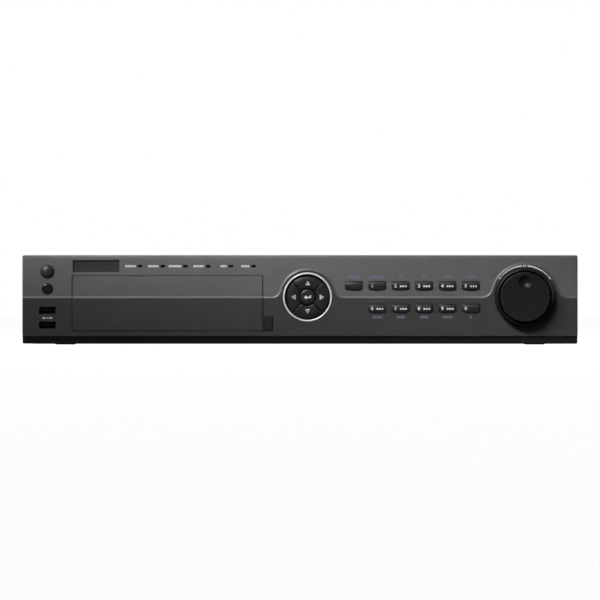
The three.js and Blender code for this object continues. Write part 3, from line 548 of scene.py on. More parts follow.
bezel = extent("front_bezel")
fascia = extent("lower_fascia")
cover = extent("tray_front_cover")
eject = extent("eject_button")
shuttle = extent("shuttle_ring")
dial = extent("jog_dial")
ring = extent("nav_ring")
plate = extent("name_plate")
power = extent("power_button")
lens = extent("ir_window")
lights = extent("led_light_pipe")
usb = [extent("usb_port_upper"), extent("usb_port_lower")]
case = extent("top_cover")
panel = extent("rear_panel")

HALF = bezel.width / 2
TOP = bezel.z1
FACE = fascia.y0  # the raised lower fascia's face
CHIN = fascia.z0
TRIM = 37.3  # middle height of the fascia's sloping upper edge
EDGE = 0.8  # half the width of that sloping edge
CROWN = 1.3  # how far the upper panel leans back at its top
KNOB_Z = dial.z
POWER_RADIUS = power.width / 2 - 0.8  # without the collar that the CAD's button has behind the bezel
LENS_RADIUS = lens.width / 2 - 1
ARCHES = [(shuttle.x, shuttle.width / 2 + 3.2, 8.8), (ring.x, ring.width / 2 + 2.7, 7.1)]
KEY_WIDTH, KEY_HEIGHT = 13.9, 7.2
GAP = 0.3  # between a button and its opening
ROUND_GAP = 0.35  # between the shuttle ring and its opening
COVER_GAP, COVER_TOP_GAP = 0.6, 0.42  # round the tray's cover


on_fascia = facing_front(FACE - PRINT / 2)  # where marks are printed on the fascia


def crown(z):
    """How far the upper panel's face lies behind the bezel's foremost plane at height z."""
    return CROWN * (max(0.0, z - TRIM) / (TOP - TRIM)) ** 2


# The indicator windows are spread evenly along the light pipe, between a margin at each end.
LED_COUNT, LED_MARGIN = 6, 5.0
led_pitch = (lights.width - 2 * LED_MARGIN) / (LED_COUNT - 1)
leds = [lights.x0 + LED_MARGIN + i * led_pitch for i in range(LED_COUNT)]
key_names = ["function", "1", "2", "3", "4", "5", "6", "7", "8", "9", "0"]
keys = {name: extent("key_" + name) for name in key_names}


def key_outline(x, z, grow=0.0):
    """A key's rim: small upper corners, and a lower edge that bows down between rounder ones."""
    half, tall = KEY_WIDTH / 2 + grow, KEY_HEIGHT / 2 + grow
    bow, shoulder, steps = 0.9, 1.4, 10
    lower = [(half * t, -tall + bow * t * t) for t in (2 * i / steps - 1 for i in range(steps + 1))]
    for end, side in ((0, -1), (-1, 1)):
        lower[end] = (side * (half - 0.45), lower[end][1] + 0.35)
    low = -tall + bow + shoulder
    upper = soften([(half, low), (half, tall), (-half, tall), (-half, low)], 1.0, steps=4)
    return moved(lower + upper, x, z)


def trim_path(offset, x_from, x_to):
    """The fascia's upper edge from right to left, moved up by offset, arched over each round control."""
    z = TRIM + offset
    points = [(x_from, z)]
    for x, radius, fillet in ARCHES:
        if not x_to < x < x_from:
            continue
        big, small = radius + offset, fillet - offset
        rise = z + small - KNOB_Z
        reach = math.sqrt((big + small) ** 2 - rise**2)
        lean = math.atan2(rise, reach)
        points += arc(x + reach, z + small, small, 1.5 * math.pi, math.pi + lean, 14)
        points += arc(x, KNOB_Z, big, lean, math.pi - lean, 56)
        points += arc(x - reach, z + small, small, -lean, -0.5 * math.pi, 14)
    points.append((x_to, z))
    return points


# --- Bezel, fascia and the panes behind them ---

hole_left, hole_right = cover.x0 - COVER_GAP, cover.x1 + COVER_GAP
hole_low, hole_high = cover.z0 - COVER_GAP, cover.z1 + COVER_TOP_GAP
notch_x = eject.x1 + GAP
notch_z = eject.z1 + GAP
cover_hole = [(hole_left, hole_low), (notch_x, hole_low), (notch_x, notch_z), (hole_right, notch_z)]
cover_hole += [(hole_right, hole_high), (hole_left, hole_high)]
cover_hole = soften(cover_hole, 0.5, loop=True)


def openings(upper):
    """Outlines of the holes in the bezel, or only of those in the lower fascia."""
    holes = [circle(ring.x, ring.z, ring.width / 2 + 0.15)]
    holes.append(circle(shuttle.x, shuttle.z, shuttle.width / 2 + ROUND_GAP))
    holes += [rectangle(u.x, u.z, u.width + 0.3, u.height + 0.3, 0.5) for u in usb]
    holes += [key_outline(k.x, k.z, GAP) for k in keys.values() if upper or k.z < TRIM]
    if upper:
        holes.append(cover_hole)
        holes.append(circle(power.x, power.z, POWER_RADIUS + GAP))
        holes.append(circle(lens.x, lens.z, LENS_RADIUS + 0.12, 40))
        holes.append(rectangle(plate.x, plate.z - 0.1, plate.width - 2.2, plate.height - 1.9, 0.4))
        holes += [rectangle(x, lights.z, 3.7, 2.2, 0.3) for x in leds]
    return holes


def bezel_line():
    """The bezel's outer surface from its lower back edge round to its upper back edge, in (y, z)."""
    fillet = 1.7
    lean = math.atan(2 * CROWN / (TOP - TRIM))
    start = TOP - fillet + fillet * math.sin(lean)
    line = soften([(bezel.y1, 0), (4.5, 0), (0, CHIN), (0, CHIN + 4)], 0.7)
    line += [(crown(z), z) for z in [TRIM + (start - TRIM) * i / 14 for i in range(15)]]
    back = crown(start) + fillet * math.cos(lean)
    turns = [lean + (math.pi / 2 - lean) * i / 8 for i in range(1, 9)]
    line += [(back - fillet * math.cos(t), TOP - fillet + fillet * math.sin(t)) for t in turns]
    line.append((bezel.y1, TOP))
    return line


class Track:
    """A line in a plane, followed by its arc length."""

    def __init__(self, line):
        self.line = [Vector(p) for p in line]
        self.marks = [0.0]
        for a, b in zip(self.line, self.line[1:]):
            self.marks.append(self.marks[-1] + (b - a).length)
        count = len(self.line)
        self.slopes = []
        for i in range(count):
            before, after = self.line[max(i - 1, 0)], self.line[min(i + 1, count - 1)]
            self.slopes.append((after - before).normalized())

    def at(self, s):
        """The point at arc length s, and the direction there; both are carried on past the ends."""
        last = len(self.marks) - 1
        i = next((k for k in range(1, last) if self.marks[k] >= s), last)
        share = (s - self.marks[i - 1]) / (self.marks[i] - self.marks[i - 1])
        here = self.line[i - 1] + (self.line[i] - self.line[i - 1]) * share
        share = min(max(share, 0), 1)
        return here, (self.slopes[i - 1] * (1 - share) + self.slopes[i] * share).normalized()

    def length_at(self, value, axis=1):
        """The arc length at which the line's coordinate along axis first reaches value."""
        for i in range(1, len(self.line)):
            a, b = self.line[i - 1][axis], self.line[i][axis]
            if a < value <= b:
                return self.marks[i - 1] + (value - a) / (b - a) * (self.marks[i] - self.marks[i - 1])
        return self.marks[-1]


track = Track(bezel_line())


def round_end(u, radius):
    """Wraps the distance u from the middle round the bezel's end: how far out and how far in it comes."""
    over = abs(u) - (HALF - radius)
    if over <= 0:
        return u, 0.0
    turn = min(over / radius, math.pi / 2)
    out = HALF - radius + radius * math.sin(turn)
    return math.copysign(out, u), radius * (1 - math.cos(turn)) + max(0.0, over - radius * math.pi / 2)


END_RADIUS = 1.4
END_REACH = HALF - END_RADIUS + END_RADIUS * math.pi / 2
FASCIA_RADIUS = 1.3
FASCIA_TURN = 1.35  # how far the fascia's face turns round its ends, in radians
fascia_reach = HALF - FASCIA_RADIUS + FASCIA_RADIUS * FASCIA_TURN


def end_cuts(radius, turn):
    """Where a front is cut across so that it can turn round its two ends."""
    return [side * (HALF - radius + radius * turn * i / 5) for side in (-1, 1) for i in range(5)]


def bezel_surface(u, s):
    point, along = track.at(s)
    x, inward = round_end(u, END_RADIUS)
    return (x, point.x + along.y * inward, point.y - along.x * inward)


def unrolled(outline):
    return [(x, track.length_at(z)) for x, z in outline]


SEAM = TRIM - EDGE - 0.4  # the fascia hides where the two colours of the bezel meet
seam = track.length_at(SEAM)
upper_holes, lower_holes, crossing = [], [], []
for hole in openings(True):
    heights = [z for x, z in hole]
    if min(heights) < SEAM < max(heights):
        crossing.append(hole)
    else:
        (upper_holes if min(heights) > SEAM else lower_holes).append(unrolled(hole))


def half_hole(outline, side):
    """The part of an outline that lies above the seam (side 1) or below it (-1), from left to right."""
    part = []
    for (x0, z0), (x1, z1) in zip(outline, outline[1:] + outline[:1]):
        above0, above1 = (z0 - SEAM) * side, (z1 - SEAM) * side
        if above0 >= 0:
            part.append((x0, z0))
        if above0 * above1 < 0:
            share = above0 / (above0 - above1)
            part.append((x0 + (x1 - x0) * share, SEAM))
    on_seam = [i for i, (x, z) in enumerate(part) if abs(z - SEAM) < 1e-6]
    start = min(on_seam, key=lambda i: part[i][0])
    ordered = part[start:] + part[:start]
    if abs(ordered[1][1] - SEAM) < 1e-6:
        ordered = ordered[:1] + ordered[:0:-1]
    return ordered


def bezel_rim(side):
    """The rim along the seam, from one end to the other, stepping round the openings that cross it."""
    rim = [(-END_REACH, SEAM)]
    for run in sorted((half_hole(hole, side) for hole in crossing), key=lambda run: run[0][0]):
        rim += run
    return rim + [(END_REACH, SEAM)]


def make_half(side, low, high, holes):
    """One colour of the bezel, between two arc lengths of its track: its front and a cap at each end."""
    wall, cap_wall, tucked = 2.4, 2.0, 0.06
    edge = [(x, track.length_at(z)) for x, z in bezel_rim(side)]
    far = high if side > 0 else low
    rim = edge + [(END_REACH, far), (-END_REACH, far)]
    cuts = [mark for mark in track.marks if low < mark < high]
    ends = end_cuts(END_RADIUS, math.pi / 2)
    front = sheet([rim] + holes, wall, bezel_surface, bevel=0.15, cuts_u=ends, cuts_v=cuts)
    for point in front.points:  # the rounded end would stand proud where it meets the chin's tight corner
        point.x = max(-HALF, min(HALF, point.x))
    inset = END_RADIUS + 0.12
    cap = []
    for s in [low] + cuts + [high]:
        point, along = track.at(s)
        spot = Vector((min(point.x + along.y * inset, bezel.y1), point.y - along.x * inset))
        if not cap or (spot - cap[-1]).dot(along) > 0.05:
            cap.append(spot)
    cap.append(Vector((bezel.y1, SEAM)))
    right = sheet([cap], cap_wall, lambda u, v: (HALF - tucked, u, v), bevel=0.1)
    left = sheet([[(-y, z) for y, z in cap]], cap_wall, lambda u, v: (tucked - HALF, -u, v), bevel=0.1)
    return front + left + right


upper_half = make_half(1, seam, track.marks[-1], upper_holes)
add("bezel_upper_moulding", upper_half, "bezel", replaces=["front_bezel"])
# The rib closes the way under the drive, from the tray's opening to the space beneath the chassis.
rib = soft_box(hole_left, hole_right, 12.5, 14.0, 2.9, 8.5)
lower_half = make_half(-1, 0.0, seam, lower_holes) + rib
add("bezel_lower_moulding", lower_half, "fascia", replaces=["front_bezel"])


def fascia_surface(u, v):
    x, inward = round_end(u, FASCIA_RADIUS)
    return (x, FACE + inward, v)


def make_fascia():
    upper = [(fascia_reach, TRIM - EDGE)] + trim_path(-EDGE, HALF, hole_right)[1:]
    rim = [(-fascia_reach, CHIN + 0.1), (fascia_reach, CHIN + 0.1)] + upper
    rim += [(hole_right, notch_z), (notch_x, notch_z), (notch_x, hole_low), (hole_left, hole_low)]
    rim += [(hole_left, TRIM - EDGE), (-fascia_reach, TRIM - EDGE)]
    cuts = end_cuts(FASCIA_RADIUS, FASCIA_TURN)
    return sheet([rim] + openings(False), -FACE - 0.05, fascia_surface, bevel=0.12, cuts_u=cuts)


add("fascia_moulding", make_fascia(), "fascia", replaces=["lower_fascia"])


def sloping_edge(x_from, x_to):
    """The fascia's upper edge: a slope from its face back to the panel, rounded where it meets them."""
    swell = ((0.04, 0.12), (0.5, 0.1), (0.9, 0.06))  # shares of the slope, and how far it stands out there
    outer, inner = trim_path(EDGE, x_from, x_to), trim_path(-EDGE, x_from, x_to)
    rows = []
    for (ox, oz), (ix, iz) in zip(outer, inner):
        foot, brow, root = Vector((ox, 0.1, oz)), Vector((ix, FACE, iz)), Vector((ix, 0.1, iz))
        slope = [foot.lerp(brow, share) - Vector((0, out, 0)) for share, out in swell]
        rows.append([foot] + slope + [brow, root])
    size = len(rows[0])
    points = [p for row in rows for p in row]
    faces = [tuple(range(size)), tuple(range(len(points) - size, len(points)))]
    for i in range(len(rows) - 1):
        for k in range(size):
            n = (k + 1) % size
            faces.append((i * size + k, i * size + n, (i + 1) * size + n, (i + 1) * size + k))
    return closed(points, faces)


fixed_edges = sloping_edge(HALF - 0.5, hole_right) + sloping_edge(hole_left, -HALF + 0.5)
# The slope's light grey is a painted highlight on the fascia's own dark plastic.
add("fascia_sloping_edge", fixed_edges, "edge_painted_highlight")

pane_y = crown(plate.z) + 1.6
pane = block(plate.x, plate.z, plate.width - 1.6, plate.height - 1.6, pane_y, pane_y + 1.4, 0.2)
add("name_plate_pane", pane, "plate", replaces=["name_plate"])

led_panes = joined(block(x, lights.z, 3.5, 2.0, crown(lights.z) + 0.05, 2.9, 0.25) for x in leds)
led_rail = soft_box(lights.x0, lights.x1, 2.8, lights.y1, lights.z0, lights.z1)
add("indicator_windows", led_panes + led_rail, "window", replaces=["led_light_pipe"])

ir_face = ((0, -0.5), (0.5, -0.42), (0.85, -0.15), (1, 0.35), (1, 2.6))
ir_line = [(LENS_RADIUS * share, y) for share, y in ir_face]
ir_line += [(LENS_RADIUS + 1, 2.6), (LENS_RADIUS + 1, 3.7), (0, 3.7)]
ir_lens = turned(soften(ir_line, 0.25), 48).shifted(lens.x, 0, lens.z)
add("infrared_lens", ir_lens, "ir", replaces=["ir_window"])

dome = [(POWER_RADIUS * t, crown(power.z) - 1.75 + 2.1 * t**2.6) for t in [i / 10 for i in range(11)]]
dome += [(POWER_RADIUS, 3.8), (1.5, 3.8), (1.5, power.y1), (0, power.y1)]
power_cap = turned(soften(dome, 0.12), 64).shifted(power.x, 0, power.z)
add("power_button_cap", power_cap, "power", "power", ["power_button"])


def make_usb_fittings():
    """Four contacts under each tongue, and a collar round each port."""
    contacts, collars = Solid(), Solid()
    for u in usb:
        under_tongue = u.z1 - 2.92
        for i in range(4):
            contacts += block(u.x - 3.5 + i * 7 / 3, under_tongue, 1.1, 0.12, u.y0 + 1.4, u.y0 + 7, 0.04)
        outer = rectangle(u.x, u.z, u.width + 0.2, u.height + 0.2, 0.4)
        inner = rectangle(u.x, u.z, u.width - 0.6, u.height - 0.6, 0.3)
        collars += sheet([outer, inner], 0.5, facing_front(u.y0 - 0.55), bevel=0.1)
    return contacts, collars


usb_contacts, usb_collars = make_usb_fittings()
add("front_usb_contacts", usb_contacts, "gold")
add("front_usb_collars", usb_collars, "moulded")
for node in ("usb_port_upper", "usb_port_lower"):
    dress(node, "moulded", 0.08)

# --- Disc tray cover and eject button ---


def cover_surface(u, v):
    return (u, crown(v), v)


cover_rim = rectangle(cover.x, cover.z, cover.width, cover.height, 0.8)
cover_cuts = levels(TRIM, cover.z1, 6)
cover_plate = sheet([cover_rim], 2.6, cover_surface, bevel=0.3, rounds=2, cuts_v=cover_cuts)
skin = [(cover.x0, TRIM - EDGE), (cover.x0, cover.z0), (cover.x1, cover.z0), (cover.x1, TRIM - EDGE)]
skin = soften(skin, 0.8)
cover_skin = sheet([skin], 1.2, facing_front(FACE), bevel=0.2, rounds=2)
add("tray_cover_upper", cover_plate, "bezel", "tray", ["tray_front_cover"])
add("tray_cover_lower", cover_skin, "fascia", "tray")
# The slope's light grey is a painted highlight on the fascia's own dark plastic.
add("tray_cover_sloping_edge", sloping_edge(cover.x1 - 0.15, cover.x0 + 0.15), "edge_painted_highlight", "tray")

eject_left = cover.x1 + GAP
eject_cap = soft_box(eject_left, eject.x1, eject.y0, 3.0, eject.z0, eject.z1, 0.6, 4)
eject_arm = soft_box(eject.x0, eject.x1 - 1, 3.7, eject.y1, eject.z - 2, eject.z + 2, 0.2)
eject_stem = soft_box(eject_left + 1, eject.x1 - 1, 2.5, eject.y1, eject.z0 + 1, eject.z1 - 1, 0.2)
add("eject_button_cap", eject_cap + eject_arm + eject_stem, "keys", "eject", ["eject_button"])

# --- Direction pad ---

PAD_OUTER, PAD_INNER, PAD_SPLIT = 16.6, 7.1, 0.8
PAD_STEM = 11.85  # how far from the pad's middle the keys' stems stand
PAD_CREST = 12.4  # radius at which the keys' faces stand out furthest
enter = extent("enter_key")
ring_outer, ring_inner = ring.width / 2, ring.width / 2 - 1.5
ring_line = [(ring_inner, 3.0), (ring_inner, ring.y0 + 0.5), (ring_inner + 0.6, ring.y0)]
ring_line += [(ring_outer - 0.3, ring.y0 + 0.1), (ring_outer, ring.y0 + 0.7), (ring_outer, 3.0)]
ring_band = turned(soften(ring_line, 0.25, loop=True), 96, loop=True).shifted(ring.x, 0, ring.z)
add("direction_pad_ring", ring_band, "ring", replaces=["nav_ring"])


def pad_stem(direction):
    return ring.x + PAD_STEM * math.cos(direction), ring.z + PAD_STEM * math.sin(direction)


stems = [pad_stem(k * math.pi / 2) for k in range(4)]
well_holes = [circle(x, z, 2.6, 24) for x, z in stems + [(ring.x, ring.z)]]
well = sheet([circle(ring.x, ring.z, ring_outer - 0.1)] + well_holes, 1.2, facing_front(3.8), bevel=0.15)
well += tube(ring_outer, ring_inner, 2.9, 4.6).shifted(ring.x, 0, ring.z)
add("direction_pad_well", well, "pad")


def pad_surface(u, v):
    """The direction keys' face: gently dished towards the enter key and rounded off at the rim."""
    r = math.hypot(u - ring.x, v - ring.z)
    return (u, FACE - 1.0 + 0.045 * (r - PAD_CREST) ** 2 * (0.45 if r < PAD_CREST else 0.8), v)


def pad_key(direction):
    outer = math.pi / 4 - math.asin(PAD_SPLIT / 2 / PAD_OUTER)
    inner = math.pi / 4 - math.asin(PAD_SPLIT / 2 / PAD_INNER)
    rim = arc(ring.x, ring.z, PAD_OUTER, direction - outer, direction + outer, 26)
    rim += arc(ring.x, ring.z, PAD_INNER, direction + inner, direction - inner, 16)
    xs, zs = [p[0] for p in rim], [p[1] for p in rim]
    cap = sheet(
        [rim], 3.2, pad_surface, bevel=0.4, rounds=3,
        cuts_u=levels(min(xs), max(xs), 12), cuts_v=levels(min(zs), max(zs), 12),
    )
    x, z = pad_stem(direction)
    return cap + rod(2.2, 0.8, 5.6).shifted(x, 0, z)


def pad_arrow(direction):
    """An outlined triangle that points outwards."""
    c, s = math.cos(direction), math.sin(direction)
    outlines = []
    for near, far, half in ((9.75, 12.95, 1.95), (10.4, 11.95, 0.95)):
        corners = ((near, -half), (far, 0), (near, half))
        outlines.append(moved([(a * c - b * s, a * s + b * c) for a, b in corners], ring.x, ring.z))
    return printed(outlines, lambda u, v: (u, pad_surface(u, v)[1] - PRINT, v))


for quarter, side in enumerate(("right", "up", "left", "down")):
    turn = quarter * math.pi / 2
    name = "nav_" + side
    add(name + "_cap", pad_key(turn), "keys", name, [name + "_key"])
    add(name + "_arrow", pad_arrow(turn), "white_ink", name)

ENTER_RADIUS = 6.25
enter_line = [(ENTER_RADIUS * t, enter.y0 + 0.35 * t**3) for t in [i / 8 for i in range(8)]]
enter_line += [(ENTER_RADIUS, enter.y0 + 0.7), (ENTER_RADIUS, 2.0), (2.2, 2.0), (2.2, 5.6), (0, 5.6)]
enter_cap = turned(soften(enter_line, 0.35), 64).shifted(enter.x, 0, enter.z)
add("enter_key_cap", enter_cap, "keys", "enter", ["enter_key"])


def return_arrow():
    """A bent arrow: a stem down from the right, a bar to the left and a head."""
    line = [(2.75, 1.6), (1.75, 1.6), (1.75, 0.35), (-0.8, 0.35), (-0.8, 1.55), (-3.0, -0.2), (-0.8, -1.95)]
    line += [(-0.8, -0.8), (2.75, -0.8)]
    return printed([moved(line, enter.x, enter.z)], facing_front(enter.y0 - PRINT / 2))


add("enter_key_arrow", return_arrow(), "white_ink", "enter")

# --- Keypad ---


def key_surface(k):
    """A key's face, rounded off towards its upper and lower edges and a little towards its ends."""
    def surface(u, v):
        upright, sideways = abs(v - k.z + 0.5) / 3.9, (u - k.x) / 6.9
        return (u, k.y0 + 0.8 * upright**2.4 + 0.25 * sideways**2, v)

    return surface


def key_marks(name, k):
    """The key's digit, and three short ticks where a phone keypad has its letters."""
    if name == "function":
        return None
    y = k.y0 - 0.01
    marks = lettering(name, 2.6, k.x - 4.1, k.z + 0.1, y, weight=0.13)
    if name not in ("0", "1"):
        for i in range(3):
            tick = rectangle(k.x + 0.1 + i * 2.0, k.z - 0.1, 1.3, 1.4)
            marks += printed([tick], lambda u, v: (u, y + 0.2 * ((u - k.x) / 6.9) ** 2 - PRINT / 2, v))
    return marks


for name, k in keys.items():
    cap = sheet(
        [key_outline(k.x, k.z)], 3.2 - k.y0 - 0.3, key_surface(k), bevel=0.45, rounds=3,
        cuts_u=levels(k.x - 7, k.x + 7, 8), cuts_v=levels(k.z - 3.6, k.z + 3.6, 8),
    )
    rim = block(k.x, k.z, k.width, k.height, 2.85, 3.6, 0.2)
    stem = block(k.x, k.z, 3, 3, 3.4, k.y1, 0.2)
    body = "keypad_" + name
    add("keypad_cap_" + name, cap + rim + stem, "keys", body, ["key_" + name])
    marks = key_marks(name, k)
    if marks:
        add("keypad_marks_" + name, marks, "white_ink", body)

# --- Jog dial and shuttle ring ---

shuttle_outer, shuttle_inner = shuttle.width / 2, shuttle.width / 2 - 3.2
dial_radius = dial.width / 2
shuttle_line = [(6.2, 2.5), (6.2, shuttle.y1), (3.35, shuttle.y1), (3.35, 1.1), (shuttle_inner, 1.1)]
shuttle_line += [(shuttle_inner, shuttle.y0 + 1.0), (shuttle_inner + 1.0, shuttle.y0)]
shuttle_line += [(shuttle_outer - 1.5, shuttle.y0 + 0.15), (shuttle_outer - 0.35, shuttle.y0 + 1.7)]
shuttle_line += [(shuttle_outer, 0.0), (shuttle_outer, 2.5)]
shuttle_solid = turned(soften(shuttle_line, 0.8, loop=True, steps=4), 128, loop=True)
shuttle_solid = shuttle_solid.shifted(shuttle.x, 0, shuttle.z)
add("shuttle_ring_moulding", shuttle_solid, "knob", "shuttle", ["shuttle_ring"])


def make_dial():
    """The dial: a polar grid for its face with a round finger dimple, then its side, back and shaft."""
    rings, steps = 56, 180
    edge = 1.5
    dimple_r, dimple_z, dimple_deep = 5.1, 12.1, 2.2
    lip_high, lip_at, lip_wide = 0.06, 1.06, 0.1  # a faint lip round the dimple, in shares of its radius
    line = [(dial_radius - edge) * i / rings for i in range(rings + 1)]
    profile = [(r, dial.y0 + 0.35 * (1 - (r / dial_radius) ** 2)) for r in line]
    start = profile[-1]
    turn = soften([start, (dial_radius, start[1]), (dial_radius, start[1] + 2 * edge)], edge, steps=6)
    profile += turn[1:-1]
    profile += soften([(dial_radius, 0.2), (dial_radius, 0.7), (3.0, 0.7), (3.0, dial.y1), (0, dial.y1)], 0.3)
    solid = turned(profile, steps)
    for point in solid.points:
        away = math.hypot(point.x, point.z - dimple_z) / dimple_r
        if point.y < dial.y0 + 2.5 and away < 1.35:
            bowl = dimple_deep * (1 - away**2.8) if away < 1 else 0.0
            lip = lip_high * math.exp(-(((away - lip_at) / lip_wide) ** 2))
            point.y += max(bowl, 0) - lip
    solid.normals = weighted_normals(solid.points, solid.faces)
    return solid.shifted(dial.x, 0, dial.z)


add("jog_dial_moulding", make_dial(), "knob", "jog", ["jog_dial"])


def jog_marks():
    """Two tapering arcs, a pause mark at the top and a double arrow at each far end, round the ring."""
    radius = shuttle_outer + 1.4
    marks = Solid()

    def polar(angle, r):
        return (shuttle.x + r * math.sin(angle), shuttle.z + r * math.cos(angle))

    for side in (-1, 1):
        near, far, steps = math.radians(5.3), math.radians(47.5), 20
        outer, inner = [], []
        for i in range(steps + 1):
            angle = side * (near + (far - near) * i / steps)
            half = 0.62 - 0.4 * i / steps
            outer.append(polar(angle, radius + half))
            inner.append(polar(angle, radius - half))
        marks += printed([outer + inner[::-1]], on_fascia)
        for k in range(2):
            angle = side * math.radians(49.8 + 2.9 * k)
            tip = side * math.radians(2.8)
            head = [polar(angle, radius + 0.95), polar(angle + tip, radius), polar(angle, radius - 0.95)]
            marks += printed([head], on_fascia)
        corners = ((0.9, -0.8), (0.9, 0.8), (2.8, 0.8), (2.8, -0.8))
        bar = [polar(side * math.radians(angle), radius + out) for angle, out in corners]
        marks += printed([bar], on_fascia)
    return marks


add("jog_marks", jog_marks(), "white_ink")

# --- Printed marks on the front ---


def blips(x, z, count, width, height, surface, pitch=1.7):
    """A row of short bars that stands in for a printed word."""
    marks = Solid()
    for i in range(count):
        u = x + (i - (count - 1) / 2) * pitch
        marks += printed([rectangle(u, z, width, height)], surface)
    return marks


def on_panel(u, v):
    return (u, crown(v) - PRINT / 2, v)


indicator_marks = Solid()
for x, count in zip(leds, (5, 5, 6, 5, 3, 4)):
    indicator_marks += blips(x - 3.4 - count * 0.85, lights.z, count, 1.15, 1.7, on_panel)
add("indicator_marks", indicator_marks, "white_ink")

legend = Solid()
for name, count in zip(key_names[:6], (5, 6, 2, 2, 4, 5)):
    legend += blips(keys[name].x, keys[name].z + 7.4, count, 1.15, 2.2, on_panel, 1.65)
for name, count in zip(key_names[6:], (5, 4, 4, 5, 1)):
    legend += blips(keys[name].x, keys[name].z - 6.7, count, 1.15, 2.2, on_fascia, 1.65)
add("keypad_legend_marks", legend, "blue_ink")


def usb_mark():
    """A small generic plug sign: a line with a square and a point at its ends."""
    x, z = usb[0].x, (usb[0].z + usb[1].z) / 2
    point = moved([(2.4, -0.9), (4.2, 0), (2.4, 0.9)], x, z)
    shapes = (rectangle(x, z, 5.0, 0.5), rectangle(x - 3.1, z, 1.4, 1.4), point)
    return joined(printed([shape], on_fascia) for shape in shapes)


add("usb_mark", usb_mark(), "white_ink")

# --- Screws and other small fittings ---

TO_REAR = Matrix.Rotation(math.pi, 4, "Z")
TO_RIGHT = Matrix.Rotation(math.pi / 2, 4, "Z")
TO_LEFT = Matrix.Rotation(-math.pi / 2, 4, "Z")
TO_FLOOR = Matrix.Rotation(math.pi / 2, 4, "X")


def cross(reach, half):
    """The rim of a cross-shaped recess."""
    arm = [(half, half), (half, reach), (-half, reach)]
    quarters = ((1, 0), (0, 1), (-1, 0), (0, -1))
    return [(u * c - v * s, u * s + v * c) for c, s in quarters for u, v in arm]


def pan_head(radius, height):
    """A domed screw head with a cross recess, standing out forwards from y = 0."""
    dome = lambda u, v: (u, -height + 0.45 * height * (math.hypot(u, v) / radius) ** 2, v)
    rings = levels(-radius, radius, 6)
    recess = cross(radius * 0.52, radius * 0.13)
    cap = sheet([circle(0, 0, radius, 32), recess], height * 0.6, dome, height * 0.12, 2, rings, rings)
    return cap + rod(radius * 0.86, -height * 0.35, 0.0, 0.05, 24)


def fitted(solid, turn, x, y, z):
    return solid.placed(Matrix.Translation((x, y, z)) @ turn)


def screws(spots, radius, height, turn):
    head = pan_head(radius, height)
    return joined(fitted(head, turn, *spot) for spot in spots)


def hexagon(x, z, across):
    return circle(x, z, across / math.sqrt(3), 6)


# --- Lid, base and feet ---

WALL = 1.2
LID_BEND = 1.6
VENT_WIDTH, VENT_HEIGHT, VENT_PITCH, VENT_COUNT = 3.0, 26.0, 8.0, 10
VENT_FROM_BACK = 60.0  # from the case's back to the front edge of the rearmost vent
VENT_LOW = 26.7  # height of the vents' lower ends
SCREW_HEIGHT = 18.0  # of the screws in the lid's sides
lid_side = case.height - LID_BEND
lid_top = case.width - 2 * LID_BEND
lid_arc = LID_BEND * math.pi / 2
LID_REACH = lid_side + lid_arc + lid_top / 2


def lid_surface(u, v):
    """The lid unrolled: u runs up the left side, over the top and down the right, v from front to back."""
    side = 1 if u >= 0 else -1
    s = LID_REACH - abs(u)
    if s < lid_side:
        x, z = case.x1, case.z0 + s
    elif s < lid_side + lid_arc:
        turn = (s - lid_side) / LID_BEND
        x, z = case.x1 - LID_BEND * (1 - math.cos(turn)), case.z1 - LID_BEND * (1 - math.sin(turn))
    else:
        x, z = abs(u), case.z1
    return (side * x, v, z)


def make_lid():
    vents = []
    first = case.y1 - VENT_FROM_BACK + VENT_WIDTH / 2
    u = LID_REACH - (VENT_LOW + VENT_HEIGHT / 2 - case.z0)
    for side in (-1, 1):
        for i in range(VENT_COUNT):
            vents.append(rectangle(side * u, first - i * VENT_PITCH, VENT_HEIGHT, VENT_WIDTH, 1.45, 6))
    rim = rectangle(0, case.y, 2 * LID_REACH, case.depth, 0.6)
    bends = [lid_top / 2 + lid_arc * i / 6 for i in range(7)]
    cuts = [side * bend for bend in bends for side in (-1, 1)]
    return sheet([rim] + vents, WALL, lid_surface, bevel=0.2, cuts_u=cuts)


add("lid", make_lid(), "paint", replaces=["top_cover"])

lid_screws = Solid()
for x, turn in ((case.x1, TO_RIGHT), (case.x0, TO_LEFT)):
    spots = [(x, y, SCREW_HEIGHT) for y in (case.y0 + 30, case.y - 5, case.y1 - 20)]
    lid_screws += screws(spots, 3.0, 1.25, turn)
add("lid_screws", lid_screws, "nickel")

dress("base_chassis", "paint", 0.15)
base = extent("base_chassis")
# Three grids of screw heads under the base, each as its xs and its ys.
grids = (((20, 100), (75, 186)), ((-35, 75, 199), (242, 362)), ((-171, -41), (30, 160)))
under = [(x, y, base.z0) for xs, ys in grids for x in xs for y in ys]
add("underside_screws", screws(under, 2.9, 1.1, TO_FLOOR), "nickel")


def under_face(u, v):
    return (u, -v, base.z0 - PRINT / 2)


sticker = sheet([rectangle(-110, -262, 92, 46, 2)], 0.12, under_face, bevel=0.02)
add("blank_label", sticker, "label")
pads = joined(
    fitted(tube(3.6, 2.2, -0.55, 0.2), TO_FLOOR, x, y, base.z0) for x in (-60, 150) for y in (120, 300)
)
add("underside_bosses", pads, "paint")

for node in ("foot_front_left", "foot_front_right", "foot_rear_left", "foot_rear_right"):
    foot = extent(node)
    radius, tall, recess = foot.width / 2, foot.height, 2.2
    sole = [(0, recess - tall), (radius * 0.42, recess - tall), (radius * 0.46, -tall)]
    sole += [(radius - 1.1, -tall), (radius, 1.6 - tall), (radius, 0), (0, 0)]
    solid = turned(soften(sole, 0.5), 48)
    add(node + "_pad", fitted(solid, TO_FLOOR, foot.x, foot.y, foot.z1), "rubber", replaces=[node])
    add(node + "_screw", screws([(foot.x, foot.y, foot.z0 + recess)], 2.7, 0.8, TO_FLOOR), "steel")

# --- Rear panel ---

